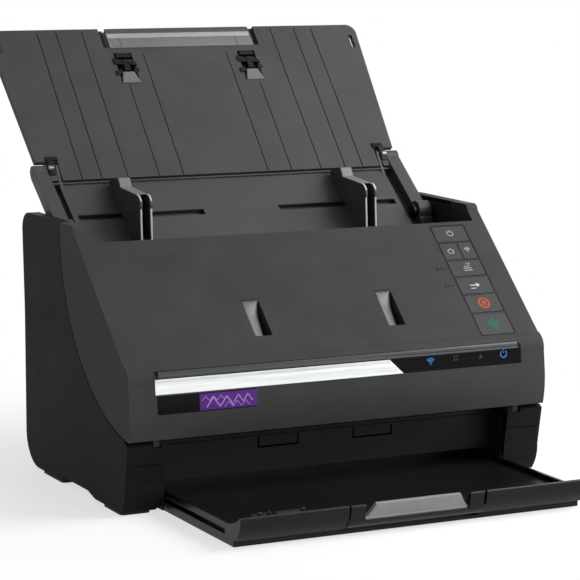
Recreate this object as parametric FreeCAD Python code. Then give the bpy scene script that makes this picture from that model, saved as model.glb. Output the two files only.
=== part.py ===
import FreeCAD, Part
import math
import os

# Sheet-fed photo scanner, millimetres, +Z up, front towards -Y.
# It is drawn with the front of the feet near Y 0, then moved so that the origin
# is the middle of its footprint on the table.

V = FreeCAD.Vector

# Body, as wide as the widest sheet and the works at each side of it
PAPER_W = 216.0
SIDE_WORKS = 40.0
BODY_W = PAPER_W + 2 * SIDE_WORKS
WALL = 3.0
SIDE_GAP = 0.8
TOP_Z = 170.0
REAR_Y = 165.0
REAR_IN = REAR_Y - 7.0
BOARD_Y = REAR_IN - 8.0
REAR_BULGE = 4.0
REAR_CORNER_R = 22.0
TOP_CORNER_R = 8.0
SKIRT_Z = 2.0
ARCH_LIFT = 3.0
FRONT_PAD_END = 36.0
ARCH_START = 58.0
ARCH_END = 98.0
LEG_TOP = 44.0
LEG_BACK_TOP = 46.6
LEG_FRONT_Y = -5.6
LEG_TOE_Y = 5.0
LEG_W = 26.0
OPENING_W = BODY_W - 2 * LEG_W
LEG_SEAM_Z = 32.0
SEAM_GROOVE = 0.7

# Slope panel of the cover and the front below it
CHEEK_W = 8.0
PANEL_W = BODY_W - 2 * CHEEK_W
PANEL_REAR_Y = 73.1
PANEL_REAR_Z = 159.8
PANEL_ANGLE = 42.3
PANEL_LENGTH = 104.0
FRONT_Y = -8.5
FRONT_BELLY_Z = 69.0
COVER_BOTTOM_Z = 48.0
COVER_BOTTOM_Y = -7.0
CREASE_R = 7.0

# The arc on each side where the cover meets the lower housing
SEAM_Y = -23.0
SEAM_Z = 173.0
SEAM_R = 126.0

# Hinges
COVER_HINGE_Y = -1.0
COVER_HINGE_Z = 44.5
COVER_PIN_R = 1.5
COVER_EAR_R = 3.2
TRAY_HINGE_Y = 131.0
TRAY_HINGE_Z = 160.5
TRAY_PIN_R = 3.0
TRAY_HUB_R = 7.0
RUN_CLEAR = 0.06
SIDE_CLEAR = 0.3

# Paper path behind the cover: a straight run, then an arc towards the exit
PATH_ANGLE = 50.0
PATH_FOOT_Y = 37.7
PATH_FOOT_Z = 53.0
PATH_LENGTH = 115.5
PATH_GAP = 3.0
PATH_BEND_R = 25.0
EXIT_ANGLE = 20.0
EXIT_Y = 17.0
GUIDE_T = 2.5
WELL_R = 28.0

# Rollers, as heights along the paper path and radii
PICKUP_U = 95.5
PICKUP_R = 12.0
PICKUP_PROUD = 1.5
FEED_U = 55.5
EXIT_U = 7.5
DRIVE_R = 10.0
DRIVE_PROUD = 1.0
PINCH_R = 6.0
SEPARATION_R = 8.0
NIP_GAP = 0.4
SHAFT_R = 3.0
WINDOW_CLEAR = 1.0
GLASS_U = 33.5
GLASS_LENGTH = 18.0
GLASS_T = 1.4
SENSOR_DEPTH = 12.0

# Gears
GEAR_MODULE = 1.0
ROLLER_TEETH = 20
IDLER_TEETH = 32
PINION_TEETH = 12
GEAR_WIDTH = 5.0
GEAR_BACKLASH = 0.16
PINION_BEARING = -60.0

# Housing plates
PLATE_T = 2.5
WELL_PLATE_T = 3.0
SHELF_TOP = 118.0
SHELF_FRONT = 116.0
PLATE_TOP = SHELF_TOP + 4.0
REAR_BEAM_Y = 140.0
SCREW_R = 1.4
SCREW_X = OPENING_W / 2 + 9.0
SCREW_ROWS = (124.0, 150.0)

# Input tray
CHUTE_ANGLE = 38.0
CHUTE_LENGTH = 57.0
CHUTE_LOW = 20.0
FLOOR_DROP = 2.0
FLOOR_T = 2.0
ARM_W = 9.5
ARM_GAP = 2.2
ARM_OUT = PANEL_W / 2 - ARM_GAP
FLOOR_SIDE = 5.8
FLOOR_W = 2 * (ARM_OUT - ARM_W - FLOOR_SIDE)
ARM_RISE = 1.5
BACK_DROP = 6.5
PANEL2_ANGLE = 48.6
TRAY_LENGTH = 115.5
TRAY_TAIL = 11.0
TRAY_LOW_W = 2 * ARM_OUT - 6.8
TRAY_W = TRAY_LOW_W + 16.2
NOTCH_TOP = 4.5
TRAY_T = 3.5
TRAY_PIN_DROP = 2.5
PANEL_PIN_R = 2.0
HOOK_X = 47.5
HOOK_W = 13.5
HOOK_LOW = 68.0
HOOK_H = 26.0
RAMP_H = 11.0
HANDLE_W = 112.0
HANDLE_H = 17.5
HANDLE_POCKET = 4.0
GROOVES = ((32.0, 93.0), (50.0, 66.0), (73.0, 113.0), (92.0, 113.0), (106.0, 113.0))
EXTENSION_T = 2.0
EXTENSION_X = 55.4

# Edge guides
GUIDE_X = 79.0
GUIDE_W = 8.6
GUIDE_WALL = 1.5
GUIDE_SLOT_S = 12.5
GUIDE_SLOT_W = 5.0
GUIDE_IN = 47.0
GUIDE_OUT = 30.0
RACK_MODULE = 1.0
RACK_PINION_TEETH = 12
PINION_STUD_R = 1.2
PINION_STUD_IN = 1.0

# Output tray
OUT_W = OPENING_W - 6.0
OUT_FRONT_Y = -94.0
OUT_LENGTH = 150.0
OUT_Z = 0.8
OUT_TOP = 13.5
OUT_FLOOR = 10.5
LIP_TOP = 19.5
LIP_LEAN = 9.0
EXT_W = 94.0
STOP_W_TOP = 58.0
STOP_W_LOW = 70.0

# Tray bay and the chassis around it
FLOOR_TOP = 4.5
BAY_TOP = 18.5
BAY_HALF = OPENING_W / 2 - 1.2
RAIL_Z = 6.6
RAIL_H = 2.4
RAIL_DEPTH = 2.6
RAIL_FRONT = 11.6
HINGE_NOTCH_X = OPENING_W / 2 + 9.5

# Slots in the wall above the output tray
EXIT_SLOT_IN = 19.5
EXIT_SLOT_OUT = 48.5
EXIT_SLOT_LOW = 31.0
EXIT_SLOT_H = 7.0
EXIT_SLOT_LINE = 1.1

# Sockets, bearings, motor
INLET_X = -96.0
USB_X = -66.0
SOCKET_Z = 34.0
BUSH_R = 4.2
STUD_R = 3.0
GEAR_X = OPENING_W / 2 + 4.0
MOTOR_R = 17.0
MOTOR_LENGTH = 40.0
MOTOR_BOSS_R = 5.0
MOTOR_SHAFT_R = 1.5
PICKUP_W = 46.0
SENSOR_LENGTH = 20.0
SENSOR_X = PAPER_W / 2 + 4.0
INLET_R = 2.9
ROLLER_IN = 20.0
ROLLER_LEN = 28.0
ROLLER_OUT = 72.0

# Pieces of the output tray and its stopper
EXT_Z = 3.4
EXT_T = 2.6
STOP_HINGE_Y = -98.6
STOP_HINGE_Z = 10.6
STOP_TOP = 20.2
STOP_T = 2.6
STOP_LEAN = 20.0
KNUCKLE_X0 = 36.0
KNUCKLE_X1 = 46.0

# Cover details
STRIP_OUT = PANEL_W / 2 - 9.0
STRIP_IN = STRIP_OUT - 26.0
STRIP_ROWS = (3.2, 17.9, 33.3, 47.6, 62.8, 78.7, 97.5)
STRIP_SPLIT = STRIP_IN + 14.2
STRIP_T = 2.4
BUTTON_GAP = 0.3
BUTTON_T = 2.0
BUTTON_TRAVEL = 0.8
BUTTON_STEM = 2.3
STRIP_RIB = 0.45
BOARD_DROP = 7.4
CHEEK_DROP = 11.5
COVER_GUIDE_T = 2.0
PINCH_SHAFT_R = 2.0
SCOOP_X = 47.8
SCOOP_W = 12.5
SCOOP_TOP = 54.0
SCOOP_END = 83.0
SCOOP_DEPTH = 7.0
WINDOW_X = BODY_W / 2 - 17.8
WINDOW_TOP = 90.3
WINDOW_LOW = 76.2
STRIP_SILVER_TOP = 85.5
SILVER_END_TOP = 32.4
SILVER_END_LOW = 42.1
INLAY_DEPTH = 1.4
BADGE_X0 = 0.8 - WINDOW_X
BADGE_X1 = BADGE_X0 + 66.9
BADGE_LOW = 64.0
BADGE_TOP = 75.2
FUNNEL_U = 108.5
LIP_SEAT = 5.2
LEVER_Y = 86.0
LEVER_Z = 134.0

HALF = BODY_W / 2
OPEN_HALF = OPENING_W / 2


def box(x0, x1, y0, y1, z0, z1):
    """A block between two corners."""
    return Part.makeBox(x1 - x0, y1 - y0, z1 - z0, V(x0, y0, z0))


def mirror(shape):
    """The same piece on the other side of the middle plane."""
    return shape.mirror(V(0, 0, 0), V(1, 0, 0))


def both(shape):
    """A left and a right copy."""
    return [shape, mirror(shape)]


def rod(x0, x1, y, z, r):
    """A round bar along X."""
    return Part.makeCylinder(r, x1 - x0, V(x0, y, z), V(1, 0, 0))


def fused(shapes):
    """One solid from touching or overlapping pieces."""
    out = shapes[0]
    if len(shapes) > 1:
        out = out.fuse(shapes[1:])
    return out.removeSplitter()


def cut(shape, tools):
    """The shape with each tool taken out."""
    return shape.cut(Part.makeCompound(tools)) if tools else shape


def polar(y, z, r, degrees):
    """A point of the YZ plane at a distance and an angle from another."""
    a = math.radians(degrees)
    return (y + r * math.cos(a), z + r * math.sin(a))


def arc_mid(start, end, bulge):
    """The middle point of a flat arc from start to end, pushed out by bulge to the left."""
    dy, dz = end[0] - start[0], end[1] - start[1]
    length = math.hypot(dy, dz)
    return (
        (start[0] + end[0]) / 2 - bulge * dz / length,
        (start[1] + end[1]) / 2 + bulge * dy / length,
    )


def outline(steps):
    """A closed wire in the YZ plane: plain points are joined by lines, and an item
    ("arc", middle, end) goes on from the last point by an arc."""
    edges = []
    first = steps[0]
    last = first
    for step in list(steps[1:]) + [first]:
        if step[0] == "arc":
            middle, end = step[1], step[2]
            a, b, c = (V(0, *p) for p in (last, middle, end))
            edges.append(Part.Arc(a, b, c).toShape())
            last = end
        elif math.dist(step, last) > 1e-6:
            edges.append(Part.LineSegment(V(0, *last), V(0, *step)).toShape())
            last = step
    return Part.Wire(edges)


def prism(steps, x0, x1):
    """A YZ outline drawn out along X."""
    face = Part.Face(outline(steps))
    face.translate(V(x0, 0, 0))
    return face.extrude(V(x1 - x0, 0, 0))


def tilt(shape, y, z, degrees):
    """A piece drawn flat, with Y along the slope and Z square to it, set on its slope."""
    out = shape.copy()
    out.rotate(V(0, 0, 0), V(1, 0, 0), degrees)
    out.translate(V(0, y, z))
    return out


def tilted_point(y, z, degrees, along, out):
    """A point of a slope, as Y and Z."""
    a = math.radians(degrees)
    return (
        y + along * math.cos(a) - out * math.sin(a),
        z + along * math.sin(a) + out * math.cos(a),
    )


def rounded(shape, radius, pick):
    """The shape with a radius on the edges that pick accepts."""
    edges = [e for e in shape.Edges if pick(e)]
    return shape.makeFillet(radius, edges) if edges else shape


def along_z(edge):
    """Whether a straight edge runs along Z."""
    d = edge.tangentAt(edge.FirstParameter)
    return abs(d.z) > 0.999


def plate(x0, x1, y0, y1, z0, z1, r):
    """A flat plate with rounded corners."""
    return rounded(box(x0, x1, y0, y1, z0, z1), r, along_z)


def on_path(shape):
    """Set on the paper path: Y up the path from its foot, Z towards the cover."""
    return tilt(shape, PATH_FOOT_Y, PATH_FOOT_Z, PATH_ANGLE)


def path_point(u, w):
    """A point of the paper path."""
    return tilted_point(PATH_FOOT_Y, PATH_FOOT_Z, PATH_ANGLE, u, w)


def panel_point(s, out=0.0):
    """A point of the slope panel, s down from its rear edge."""
    return tilted_point(PANEL_REAR_Y, PANEL_REAR_Z, PANEL_ANGLE, -s, out)


def on_panel(shape):
    """Set on the slope panel: Y up the slope to 0 at its rear edge, Z out of it."""
    return tilt(shape, PANEL_REAR_Y, PANEL_REAR_Z, PANEL_ANGLE)


def chute_point(s, w):
    """A point of the chute, s up from the tray hinge."""
    return tilted_point(TRAY_HINGE_Y, TRAY_HINGE_Z, CHUTE_ANGLE, s, w)


def on_chute(shape):
    """Set on the chute of the input tray."""
    return tilt(shape, TRAY_HINGE_Y, TRAY_HINGE_Z, CHUTE_ANGLE)


def on_tray(shape):
    """Set on the wide tray panel: Y up from its hinge pins, Z out of the paper face."""
    pin = chute_point(CHUTE_LENGTH, 0)
    face = tilted_point(pin[0], pin[1], PANEL2_ANGLE, 0, TRAY_PIN_DROP)
    return tilt(shape, face[0], face[1], PANEL2_ANGLE)


def seam_z(y, r):
    """The height of the side seam, or of an arc beside it, at a depth Y."""
    return SEAM_Z - math.sqrt(r * r - (y - SEAM_Y) ** 2)


def seam_y(z, r):
    """The depth of the side seam at a height."""
    return SEAM_Y + math.sqrt(r * r - (SEAM_Z - z) ** 2)


def seam_mid(start, end, r):
    """The middle point of the side seam between two of its points."""
    a = math.atan2((start[1] + end[1]) / 2 - SEAM_Z, (start[0] + end[0]) / 2 - SEAM_Y)
    return (SEAM_Y + r * math.cos(a), SEAM_Z + r * math.sin(a))


def body_profile(grow=0.0):
    """The whole side view of the body, or the same drawn in by a wall."""
    g = grow
    crease = panel_point(PANEL_LENGTH - CREASE_R, g)
    front_top = (FRONT_Y + 1.8 - g, crease[1] - CREASE_R * 1.6)
    top_front = panel_point(-9.0, g)
    top_start = (top_front[0] + 6.0, TOP_Z + g)
    rear_top = (REAR_Y + REAR_BULGE + g, TOP_Z - TOP_CORNER_R - 3.0)
    rear_low = (REAR_Y + g, SKIRT_Z + REAR_CORNER_R + 2.0)
    low_rear = (REAR_Y - REAR_CORNER_R + g / 2, SKIRT_Z - g)
    return [
        (LEG_TOE_Y - g / 2, SKIRT_Z - g),
        ("arc", (LEG_TOE_Y - 4.6 - g, 9.0), (LEG_FRONT_Y + 4.2 - g, 20.0)),
        (LEG_FRONT_Y - g, LEG_TOP),
        (COVER_BOTTOM_Y - g, COVER_BOTTOM_Z),
        ("arc", (FRONT_Y - 0.1 - g, (COVER_BOTTOM_Z + FRONT_BELLY_Z) / 2), (FRONT_Y - g, FRONT_BELLY_Z)),
        front_top,
        ("arc", arc_mid(front_top, crease, 2.6), crease),
        top_front,
        ("arc", arc_mid(top_front, top_start, 1.6), top_start),
        (REAR_Y - TOP_CORNER_R, TOP_Z + g),
        ("arc", arc_mid((REAR_Y - TOP_CORNER_R, TOP_Z + g), rear_top, 3.4), rear_top),
        (REAR_Y + 0.8 + g, 105.0),
        rear_low,
        ("arc", arc_mid(rear_low, low_rear, 7.0), low_rear),
        (ARCH_END + 4.0, SKIRT_Z - g),
        (ARCH_END, SKIRT_Z + ARCH_LIFT - g),
        (ARCH_START, SKIRT_Z + ARCH_LIFT - g),
        (ARCH_START - 12.0, SKIRT_Z - g),
    ]


def seam_disc(r, x0, x1):
    """Everything in front of and above the side seam."""
    return rod(x0, x1, SEAM_Y, SEAM_Z, r)


def side_cover():
    """The outer shell of one side: skin, leg front, top wrap and rear wrap."""
    inner = HALF - WALL
    skin = prism(body_profile(), inner, HALF)
    skin = skin.cut(seam_disc(SEAM_R + SIDE_GAP, inner - 1, HALF + 1))
    over_leg = prism(
        [
            (-20.0, LEG_TOP + 0.8),
            (LEG_FRONT_Y, LEG_TOP + 0.8),
            (LEG_FRONT_Y + 2.4, LEG_BACK_TOP),
            (COVER_HINGE_Y, LEG_BACK_TOP),
            (COVER_HINGE_Y, 60.0),
            (-20.0, 60.0),
        ],
        OPEN_HALF - 1,
        HALF + 1,
    )
    skin = skin.cut(over_leg)
    leg = prism(body_profile(), OPEN_HALF, inner)
    hollow = prism(body_profile(-WALL), OPEN_HALF - 1, inner)
    rim = leg.cut(hollow)
    leg_front = rim.common(box(OPEN_HALF, inner, -20, 8, 0, LEG_BACK_TOP)).cut(over_leg)
    notch = fused(
        [
            box(OPEN_HALF - 1, HINGE_NOTCH_X, LEG_FRONT_Y + 1.0, 12, LEG_TOP - 3.4, LEG_TOP + 6),
            box(OPEN_HALF + 3.6, HINGE_NOTCH_X, -20.0, 0.0, LEG_TOP - 1.0, LEG_TOP + 6),
        ]
    )
    frame_room = box(OPEN_HALF - 1, OPEN_HALF + PLATE_T + 0.1, 3.2, 20, 0, 12)
    leg_front = cut(leg_front, [notch, frame_room])
    top_start = seam_y(TOP_Z, SEAM_R + SIDE_GAP)
    wrap = rim.common(box(PANEL_W / 2 + 0.2, inner, top_start, REAR_Y + 9, 100, TOP_Z + 1))
    rear_wrap = rim.common(box(PANEL_W / 2 + 0.2, inner, 146.0, REAR_Y + 9, SKIRT_Z, 110))
    wrap = fused([wrap, rear_wrap])
    wrap = wrap.cut(seam_disc(SEAM_R + SIDE_GAP, OPEN_HALF, HALF))
    shell = fused([skin, leg_front, wrap])
    groove = box(OPEN_HALF - 1, inner, -20, LEG_FRONT_Y + 3.6, LEG_SEAM_Z, LEG_SEAM_Z + SEAM_GROOVE)
    front_face = prism(body_profile(), OPEN_HALF, inner)
    front_face = front_face.cut(prism(body_profile(-SEAM_GROOVE), OPEN_HALF - 1, inner + 1))
    return shell.cut(groove.common(front_face))


def frame_plate_profile():
    """The side view of the inner side plates, behind the seam and below the tray's swing."""
    r = SEAM_R + 1.4
    front = 3.4
    foot = FLOOR_TOP
    low = (front, foot)
    start = (front, seam_z(front, r))
    top = (seam_y(PLATE_TOP, r), PLATE_TOP)
    return [low, start, ("arc", seam_mid(start, top, r), top), (REAR_IN, PLATE_TOP), (REAR_IN, foot)]


def screw_places():
    """Where the shelf screws stand, in plan."""
    return [(x, y) for x in (-SCREW_X, SCREW_X) for y in SCREW_ROWS]


def base_frame():
    """The chassis: inner side plates with bearings, cross beams, hinge bosses and well cheeks."""
    inner = prism(frame_plate_profile(), OPEN_HALF, OPEN_HALF + PLATE_T)
    boss = rod(OPEN_HALF, OPEN_HALF + 4.0, COVER_HINGE_Y, COVER_HINGE_Z, COVER_EAR_R)
    web = box(OPEN_HALF, OPEN_HALF + PLATE_T, COVER_HINGE_Y, 4.0, LEG_TOP - 2.0, COVER_HINGE_Z)
    inner = fused([inner, boss, web])
    holes = [rod(OPEN_HALF - 1, OPEN_HALF + 5, COVER_HINGE_Y, COVER_HINGE_Z, COVER_PIN_R)]
    for u, radius, proud in roller_rows():
        y, z = path_point(u, proud - radius)
        holes.append(rod(OPEN_HALF - 1, OPEN_HALF + 5, y, z, BUSH_R))
    inner = cut(inner, holes)
    r = SEAM_R + 1.4
    x0 = PANEL_W / 2 + 0.2
    low = (seam_y(SHELF_TOP, r), SHELF_TOP)
    high = (seam_y(TOP_Z - WALL - 0.2, r), TOP_Z - WALL - 0.2)
    corner = [(REAR_IN - 4.0, high[1]), (REAR_IN, high[1] - 8.0), (REAR_IN, SHELF_TOP)]
    cheek = prism([low, ("arc", seam_mid(low, high, r), high)] + corner, x0, x0 + WELL_PLATE_T)
    shelf = box(OPEN_HALF, x0 + WELL_PLATE_T, SHELF_FRONT, REAR_IN, SHELF_TOP - PLATE_T, SHELF_TOP)
    for x, y in screw_places():
        shelf = shelf.cut(Part.makeCylinder(SCREW_R + RUN_CLEAR, 10.0, V(x, y, SHELF_TOP - 6.0)))
    cheek = fused([cheek, shelf])
    cheek = cheek.cut(rod(x0 - 1, x0 + 5, TRAY_HINGE_Y, TRAY_HINGE_Z, TRAY_PIN_R))
    side = fused([inner, cheek])
    motor = motor_centre()
    right = side.cut(rod(OPEN_HALF - 1, OPEN_HALF + 5, motor[0], motor[1], MOTOR_BOSS_R))
    idler = idler_centre()
    stud_end = GEAR_X + GEAR_WIDTH + 1.0
    stud = rod(OPEN_HALF + PLATE_T, stud_end, idler[0], idler[1], STUD_R)
    right = fused([right, stud])
    beams = [
        box(-OPEN_HALF, OPEN_HALF, REAR_BEAM_Y, REAR_IN, BAY_TOP, BAY_TOP + 4.0),
        box(-OPEN_HALF, OPEN_HALF, EXIT_Y + 1.0, EXIT_Y + 3.5, BAY_TOP, 39.0),
    ]
    slots = []
    for x0 in (EXIT_SLOT_IN, -EXIT_SLOT_OUT):
        x1 = x0 + EXIT_SLOT_OUT - EXIT_SLOT_IN
        slot = box(x0, x1, EXIT_Y, EXIT_Y + 5.0, EXIT_SLOT_LOW, EXIT_SLOT_LOW + EXIT_SLOT_H)
        tab = box(
            x0 + EXIT_SLOT_LINE, x1 - EXIT_SLOT_LINE, EXIT_Y, EXIT_Y + 5.0, EXIT_SLOT_LOW + EXIT_SLOT_LINE,
            EXIT_SLOT_LOW + EXIT_SLOT_H + 1,
        )
        slots.append(slot.cut(tab))
    beams[1] = cut(beams[1], slots)
    return fused([right, mirror(side)] + beams)


def bottom_cover():
    """The underside: a roof over the tray bay, its side walls with rails, and side floors."""
    roof = box(-OPEN_HALF, OPEN_HALF, EXIT_Y + 1.0, REAR_IN, BAY_TOP - PLATE_T, BAY_TOP)
    wall = box(BAY_HALF, OPEN_HALF, 1.0, REAR_IN, SKIRT_Z, BAY_TOP - PLATE_T)
    rail = box(BAY_HALF - RAIL_DEPTH, BAY_HALF, RAIL_FRONT, 152.0, RAIL_Z, RAIL_Z + RAIL_H)
    rear = box(-OPEN_HALF, OPEN_HALF, 156.0, REAR_IN, SKIRT_Z, BAY_TOP - PLATE_T)
    skin = HALF - WALL
    floors = [
        box(BAY_HALF, skin, 8.2, ARCH_START - 12.0, SKIRT_Z, FLOOR_TOP),
        box(BAY_HALF, skin, ARCH_END + 4.0, 142.0, SKIRT_Z, FLOOR_TOP),
    ]
    return fused([roof, rear] + both(wall) + both(rail) + both(floors[0]) + both(floors[1]))


def rear_cover():
    """The back: a shaped wall with vent slots and the two socket openings."""
    x = PANEL_W / 2
    outer = prism(body_profile(), -x, x)
    inner = prism(body_profile(-WALL), -x - 1, x + 1)
    shell = outer.cut(inner).common(box(-x, x, REAR_IN + 0.6, REAR_Y + 9, 6.0, 156.0))
    ledge = box(-x, x, REAR_IN + 0.6, REAR_Y + 9, 153.0, 156.0).common(outer)
    shell = fused([shell, ledge])
    tools = [
        box(x0, x0 + 26.0, BOARD_Y, REAR_Y + 9, z, z + 2.4)
        for z in [96.0 + 6.0 * i for i in range(6)]
        for x0 in (-88.0, -54.0, -20.0, 14.0, 48.0)
    ]
    tools.append(box(INLET_X - 7.0, INLET_X + 7.0, BOARD_Y, REAR_Y + 10.0, SOCKET_Z - 5.5, SOCKET_Z + 5.5))
    tools.append(box(USB_X - 6.2, USB_X + 6.2, BOARD_Y, REAR_Y + 10.0, SOCKET_Z - 5.8, SOCKET_Z + 5.8))
    return cut(shell, tools)


def rubber_feet():
    """Four soft pads under the corners."""
    x0, x1 = OPEN_HALF + 5.0, HALF - 1.0
    front = plate(x0, x1, LEG_TOE_Y + 2.0, FRONT_PAD_END, 0.0, SKIRT_Z, 3.0)
    rear = plate(x0, x1, ARCH_END + 5.0, 138.0, 0.0, SKIRT_Z, 3.0)
    return both(front) + both(rear)


def roller_windows(low, high, radius_of):
    """Openings in a paper guide for the rollers, in path coordinates."""
    tools = []
    for u, radius, rows in radius_of:
        for x0, x1 in rows:
            half = radius + WINDOW_CLEAR
            tools.append(
                box(x0 - WINDOW_CLEAR, x1 + WINDOW_CLEAR, u - half, u + half, low, high)
            )
    return tools


def lower_paper_guide():
    """The fixed side of the paper path, bent over at its foot towards the exit."""
    x = OPEN_HALF
    top, foot = path_point(PATH_LENGTH, 0), path_point(0, 0)
    top_in, foot_in = path_point(PATH_LENGTH, -GUIDE_T), path_point(0, -GUIDE_T)
    mid = path_bend(0.5, 0)
    end = path_bend(1.0, 0)
    mid_in = path_bend(0.5, -GUIDE_T)
    end_in = path_bend(1.0, -GUIDE_T)
    slope = math.tan(math.radians(EXIT_ANGLE))
    lip = (EXIT_Y, end[1] - (end[0] - EXIT_Y) * slope)
    lip_in = (EXIT_Y, lip[1] - GUIDE_T)
    sheet = prism(
        [top, foot, ("arc", mid, end), lip, lip_in, end_in, ("arc", mid_in, foot_in), top_in], -x, x
    )
    rows = [
        (PICKUP_U, PICKUP_R, [(-PICKUP_W / 2, PICKUP_W / 2)]),
        (FEED_U, DRIVE_R - 3.0, roller_spans()),
        (EXIT_U, DRIVE_R - 3.0, roller_spans()),
    ]
    tools = [on_path(t) for t in roller_windows(-GUIDE_T - 8.0, 6.0, rows)]
    glass = box(
        -PAPER_W / 2 - 2, PAPER_W / 2 + 2, GLASS_U - GLASS_LENGTH / 2, GLASS_U + GLASS_LENGTH / 2,
        -GUIDE_T - 1, 1,
    )
    tools.append(on_path(glass))
    return cut(sheet, tools)


def path_bend(share, offset):
    """A point of the bend at the foot of the path, by its share of the turn."""
    centre = path_point(0, PATH_BEND_R)
    turn = (PATH_ANGLE - EXIT_ANGLE) * share
    return polar(centre[0], centre[1], PATH_BEND_R - offset, PATH_ANGLE + 270 - turn)


def feeder_well():
    """The trough under the tray hinge that the edge guides swing through."""
    x = PANEL_W / 2
    r0, r1 = WELL_R, WELL_R + GUIDE_T
    start, end = 231.0, 338.0
    c = (TRAY_HINGE_Y, TRAY_HINGE_Z)
    points = [
        polar(*c, r0, start),
        ("arc", polar(*c, r0, (start + end) / 2), polar(*c, r0, end)),
        (REAR_IN, polar(*c, r0, end)[1]),
        (REAR_IN, polar(*c, r1, end)[1]),
        polar(*c, r1, end),
        ("arc", polar(*c, r1, (start + end) / 2), polar(*c, r1, start)),
    ]
    return prism(points, -x, x)


def roller_rows():
    """Height along the path, radius and proud height of each driven roller row."""
    return [
        (PICKUP_U, PICKUP_R, PICKUP_PROUD),
        (FEED_U, DRIVE_R, DRIVE_PROUD),
        (EXIT_U, DRIVE_R, DRIVE_PROUD),
    ]


def roller_spans():
    """Where the rollers of a row lie across the paper."""
    inner = (ROLLER_IN, ROLLER_IN + ROLLER_LEN)
    outer = (ROLLER_OUT, ROLLER_OUT + ROLLER_LEN)
    return [inner, outer, (-inner[1], -inner[0]), (-outer[1], -outer[0])]


def row_axis(row):
    """The shaft centre of a driven roller row."""
    u, radius, proud = roller_rows()[row]
    return path_point(u, proud - radius)


def pinch_axis(row):
    """The centre of the roller in the cover that faces a driven row."""
    u, radius, proud = roller_rows()[row]
    own = SEPARATION_R if row == 0 else PINCH_R
    return path_point(u, proud + NIP_GAP + own)


def idler_centre():
    """The idler meshes with both roller gears, on the side away from the cover."""
    feed, leave = row_axis(1), row_axis(2)
    reach = GEAR_MODULE * (ROLLER_TEETH + IDLER_TEETH) / 2
    half = math.dist(feed, leave) / 2
    off = math.sqrt(reach * reach - half * half)
    a = math.radians(PATH_ANGLE - 90)
    return (
        (feed[0] + leave[0]) / 2 + off * math.cos(a),
        (feed[1] + leave[1]) / 2 + off * math.sin(a),
    )


def motor_centre():
    """The motor's pinion meshes with the idler from below."""
    reach = GEAR_MODULE * (IDLER_TEETH + PINION_TEETH) / 2
    return polar(*idler_centre(), reach, PINION_BEARING)


def gear_face(teeth, module, backlash):
    """An involute gear outline about the origin, with a tooth centred on the first axis."""
    pitch = teeth * module / 2
    pressure = math.radians(20)
    base = pitch * math.cos(pressure)
    tip = pitch + module * 0.94
    root = pitch - module * 1.25
    spread = math.tan(pressure) - pressure
    half = math.pi / (2 * teeth) - backlash / (2 * pitch) + spread
    start = max(base, root)
    outer = []
    for i in range(teeth):
        middle = 2 * math.pi * i / teeth
        flank = []
        for k in range(5):
            r = start + (tip - start) * k / 4
            roll = math.sqrt(max(r * r / (base * base) - 1, 0))
            flank.append((r, half - (roll - math.atan(roll))))
        if root < start:
            flank.insert(0, (root, half))
        outer += [V(r * math.cos(middle - a), r * math.sin(middle - a), 0) for r, a in flank]
        outer += [V(r * math.cos(middle + a), r * math.sin(middle + a), 0) for r, a in reversed(flank)]
    return Part.Face(Part.makePolygon(outer + outer[:1]))


def gear(teeth, module, width, x0, centre, phase, bore):
    """A spur gear on an axis along X, with a tooth centred on the phase angle."""
    body = gear_face(teeth, module, GEAR_BACKLASH).extrude(V(0, 0, width))
    hole = Part.makeCylinder(bore, width + 2, V(0, 0, -1))
    body = body.cut(hole)
    body.rotate(V(0, 0, 0), V(0, 0, 1), phase)
    body.rotate(V(0, 0, 0), V(1, 1, 1), 120)
    body.translate(V(x0, *centre))
    return body


def bearing_of(a, b):
    """The direction from one axis to another, in degrees."""
    return math.degrees(math.atan2(b[1] - a[1], b[0] - a[0]))


def meshing_phase(driver, driver_phase, driver_teeth, centre, teeth):
    """The phase that puts a gap of one gear on the tooth of another on their centre line."""
    line = bearing_of(driver, centre)
    turned = (line - driver_phase) * driver_teeth / teeth
    return line + 180.0 + turned + 180.0 / teeth


def drive_gears():
    """The motor pinion, the idler and the two roller gears, in mesh."""
    idler, motor = idler_centre(), motor_centre()
    feed, leave = row_axis(1), row_axis(2)
    x, w = GEAR_X, GEAR_WIDTH
    made = {"idler_gear": gear(IDLER_TEETH, GEAR_MODULE, w, x, idler, 0.0, STUD_R + RUN_CLEAR)}
    for name, centre, teeth, bore in (
        ("motor_pinion", motor, PINION_TEETH, MOTOR_SHAFT_R),
        ("feed_gear", feed, ROLLER_TEETH, SHAFT_R),
        ("exit_gear", leave, ROLLER_TEETH, SHAFT_R),
    ):
        phase = meshing_phase(idler, 0.0, IDLER_TEETH, centre, teeth)
        made[name] = gear(teeth, GEAR_MODULE, w, x, centre, phase, bore)
    return made


def roller_shaft(row, end):
    """A steel shaft with a flat at its gear end."""
    y, z = row_axis(row)
    return rod(-OPEN_HALF - PLATE_T - 1.5, end, y, z, SHAFT_R)


def roller_set(row, spans, radius):
    """Soft rollers with a groove at each third, pressed on their shaft."""
    y, z = row_axis(row)
    rollers = []
    for x0, x1 in spans:
        tyre = rod(x0, x1, y, z, radius)
        grooves = []
        for share in (1 / 3, 2 / 3):
            x = x0 + (x1 - x0) * share
            ring = rod(x - 0.6, x + 0.6, y, z, radius + 1).cut(rod(x - 1, x + 1, y, z, radius - 0.8))
            grooves.append(ring)
        rollers.append(cut(tyre, grooves + [rod(x0 - 1, x1 + 1, y, z, SHAFT_R)]))
    return rollers


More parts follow.
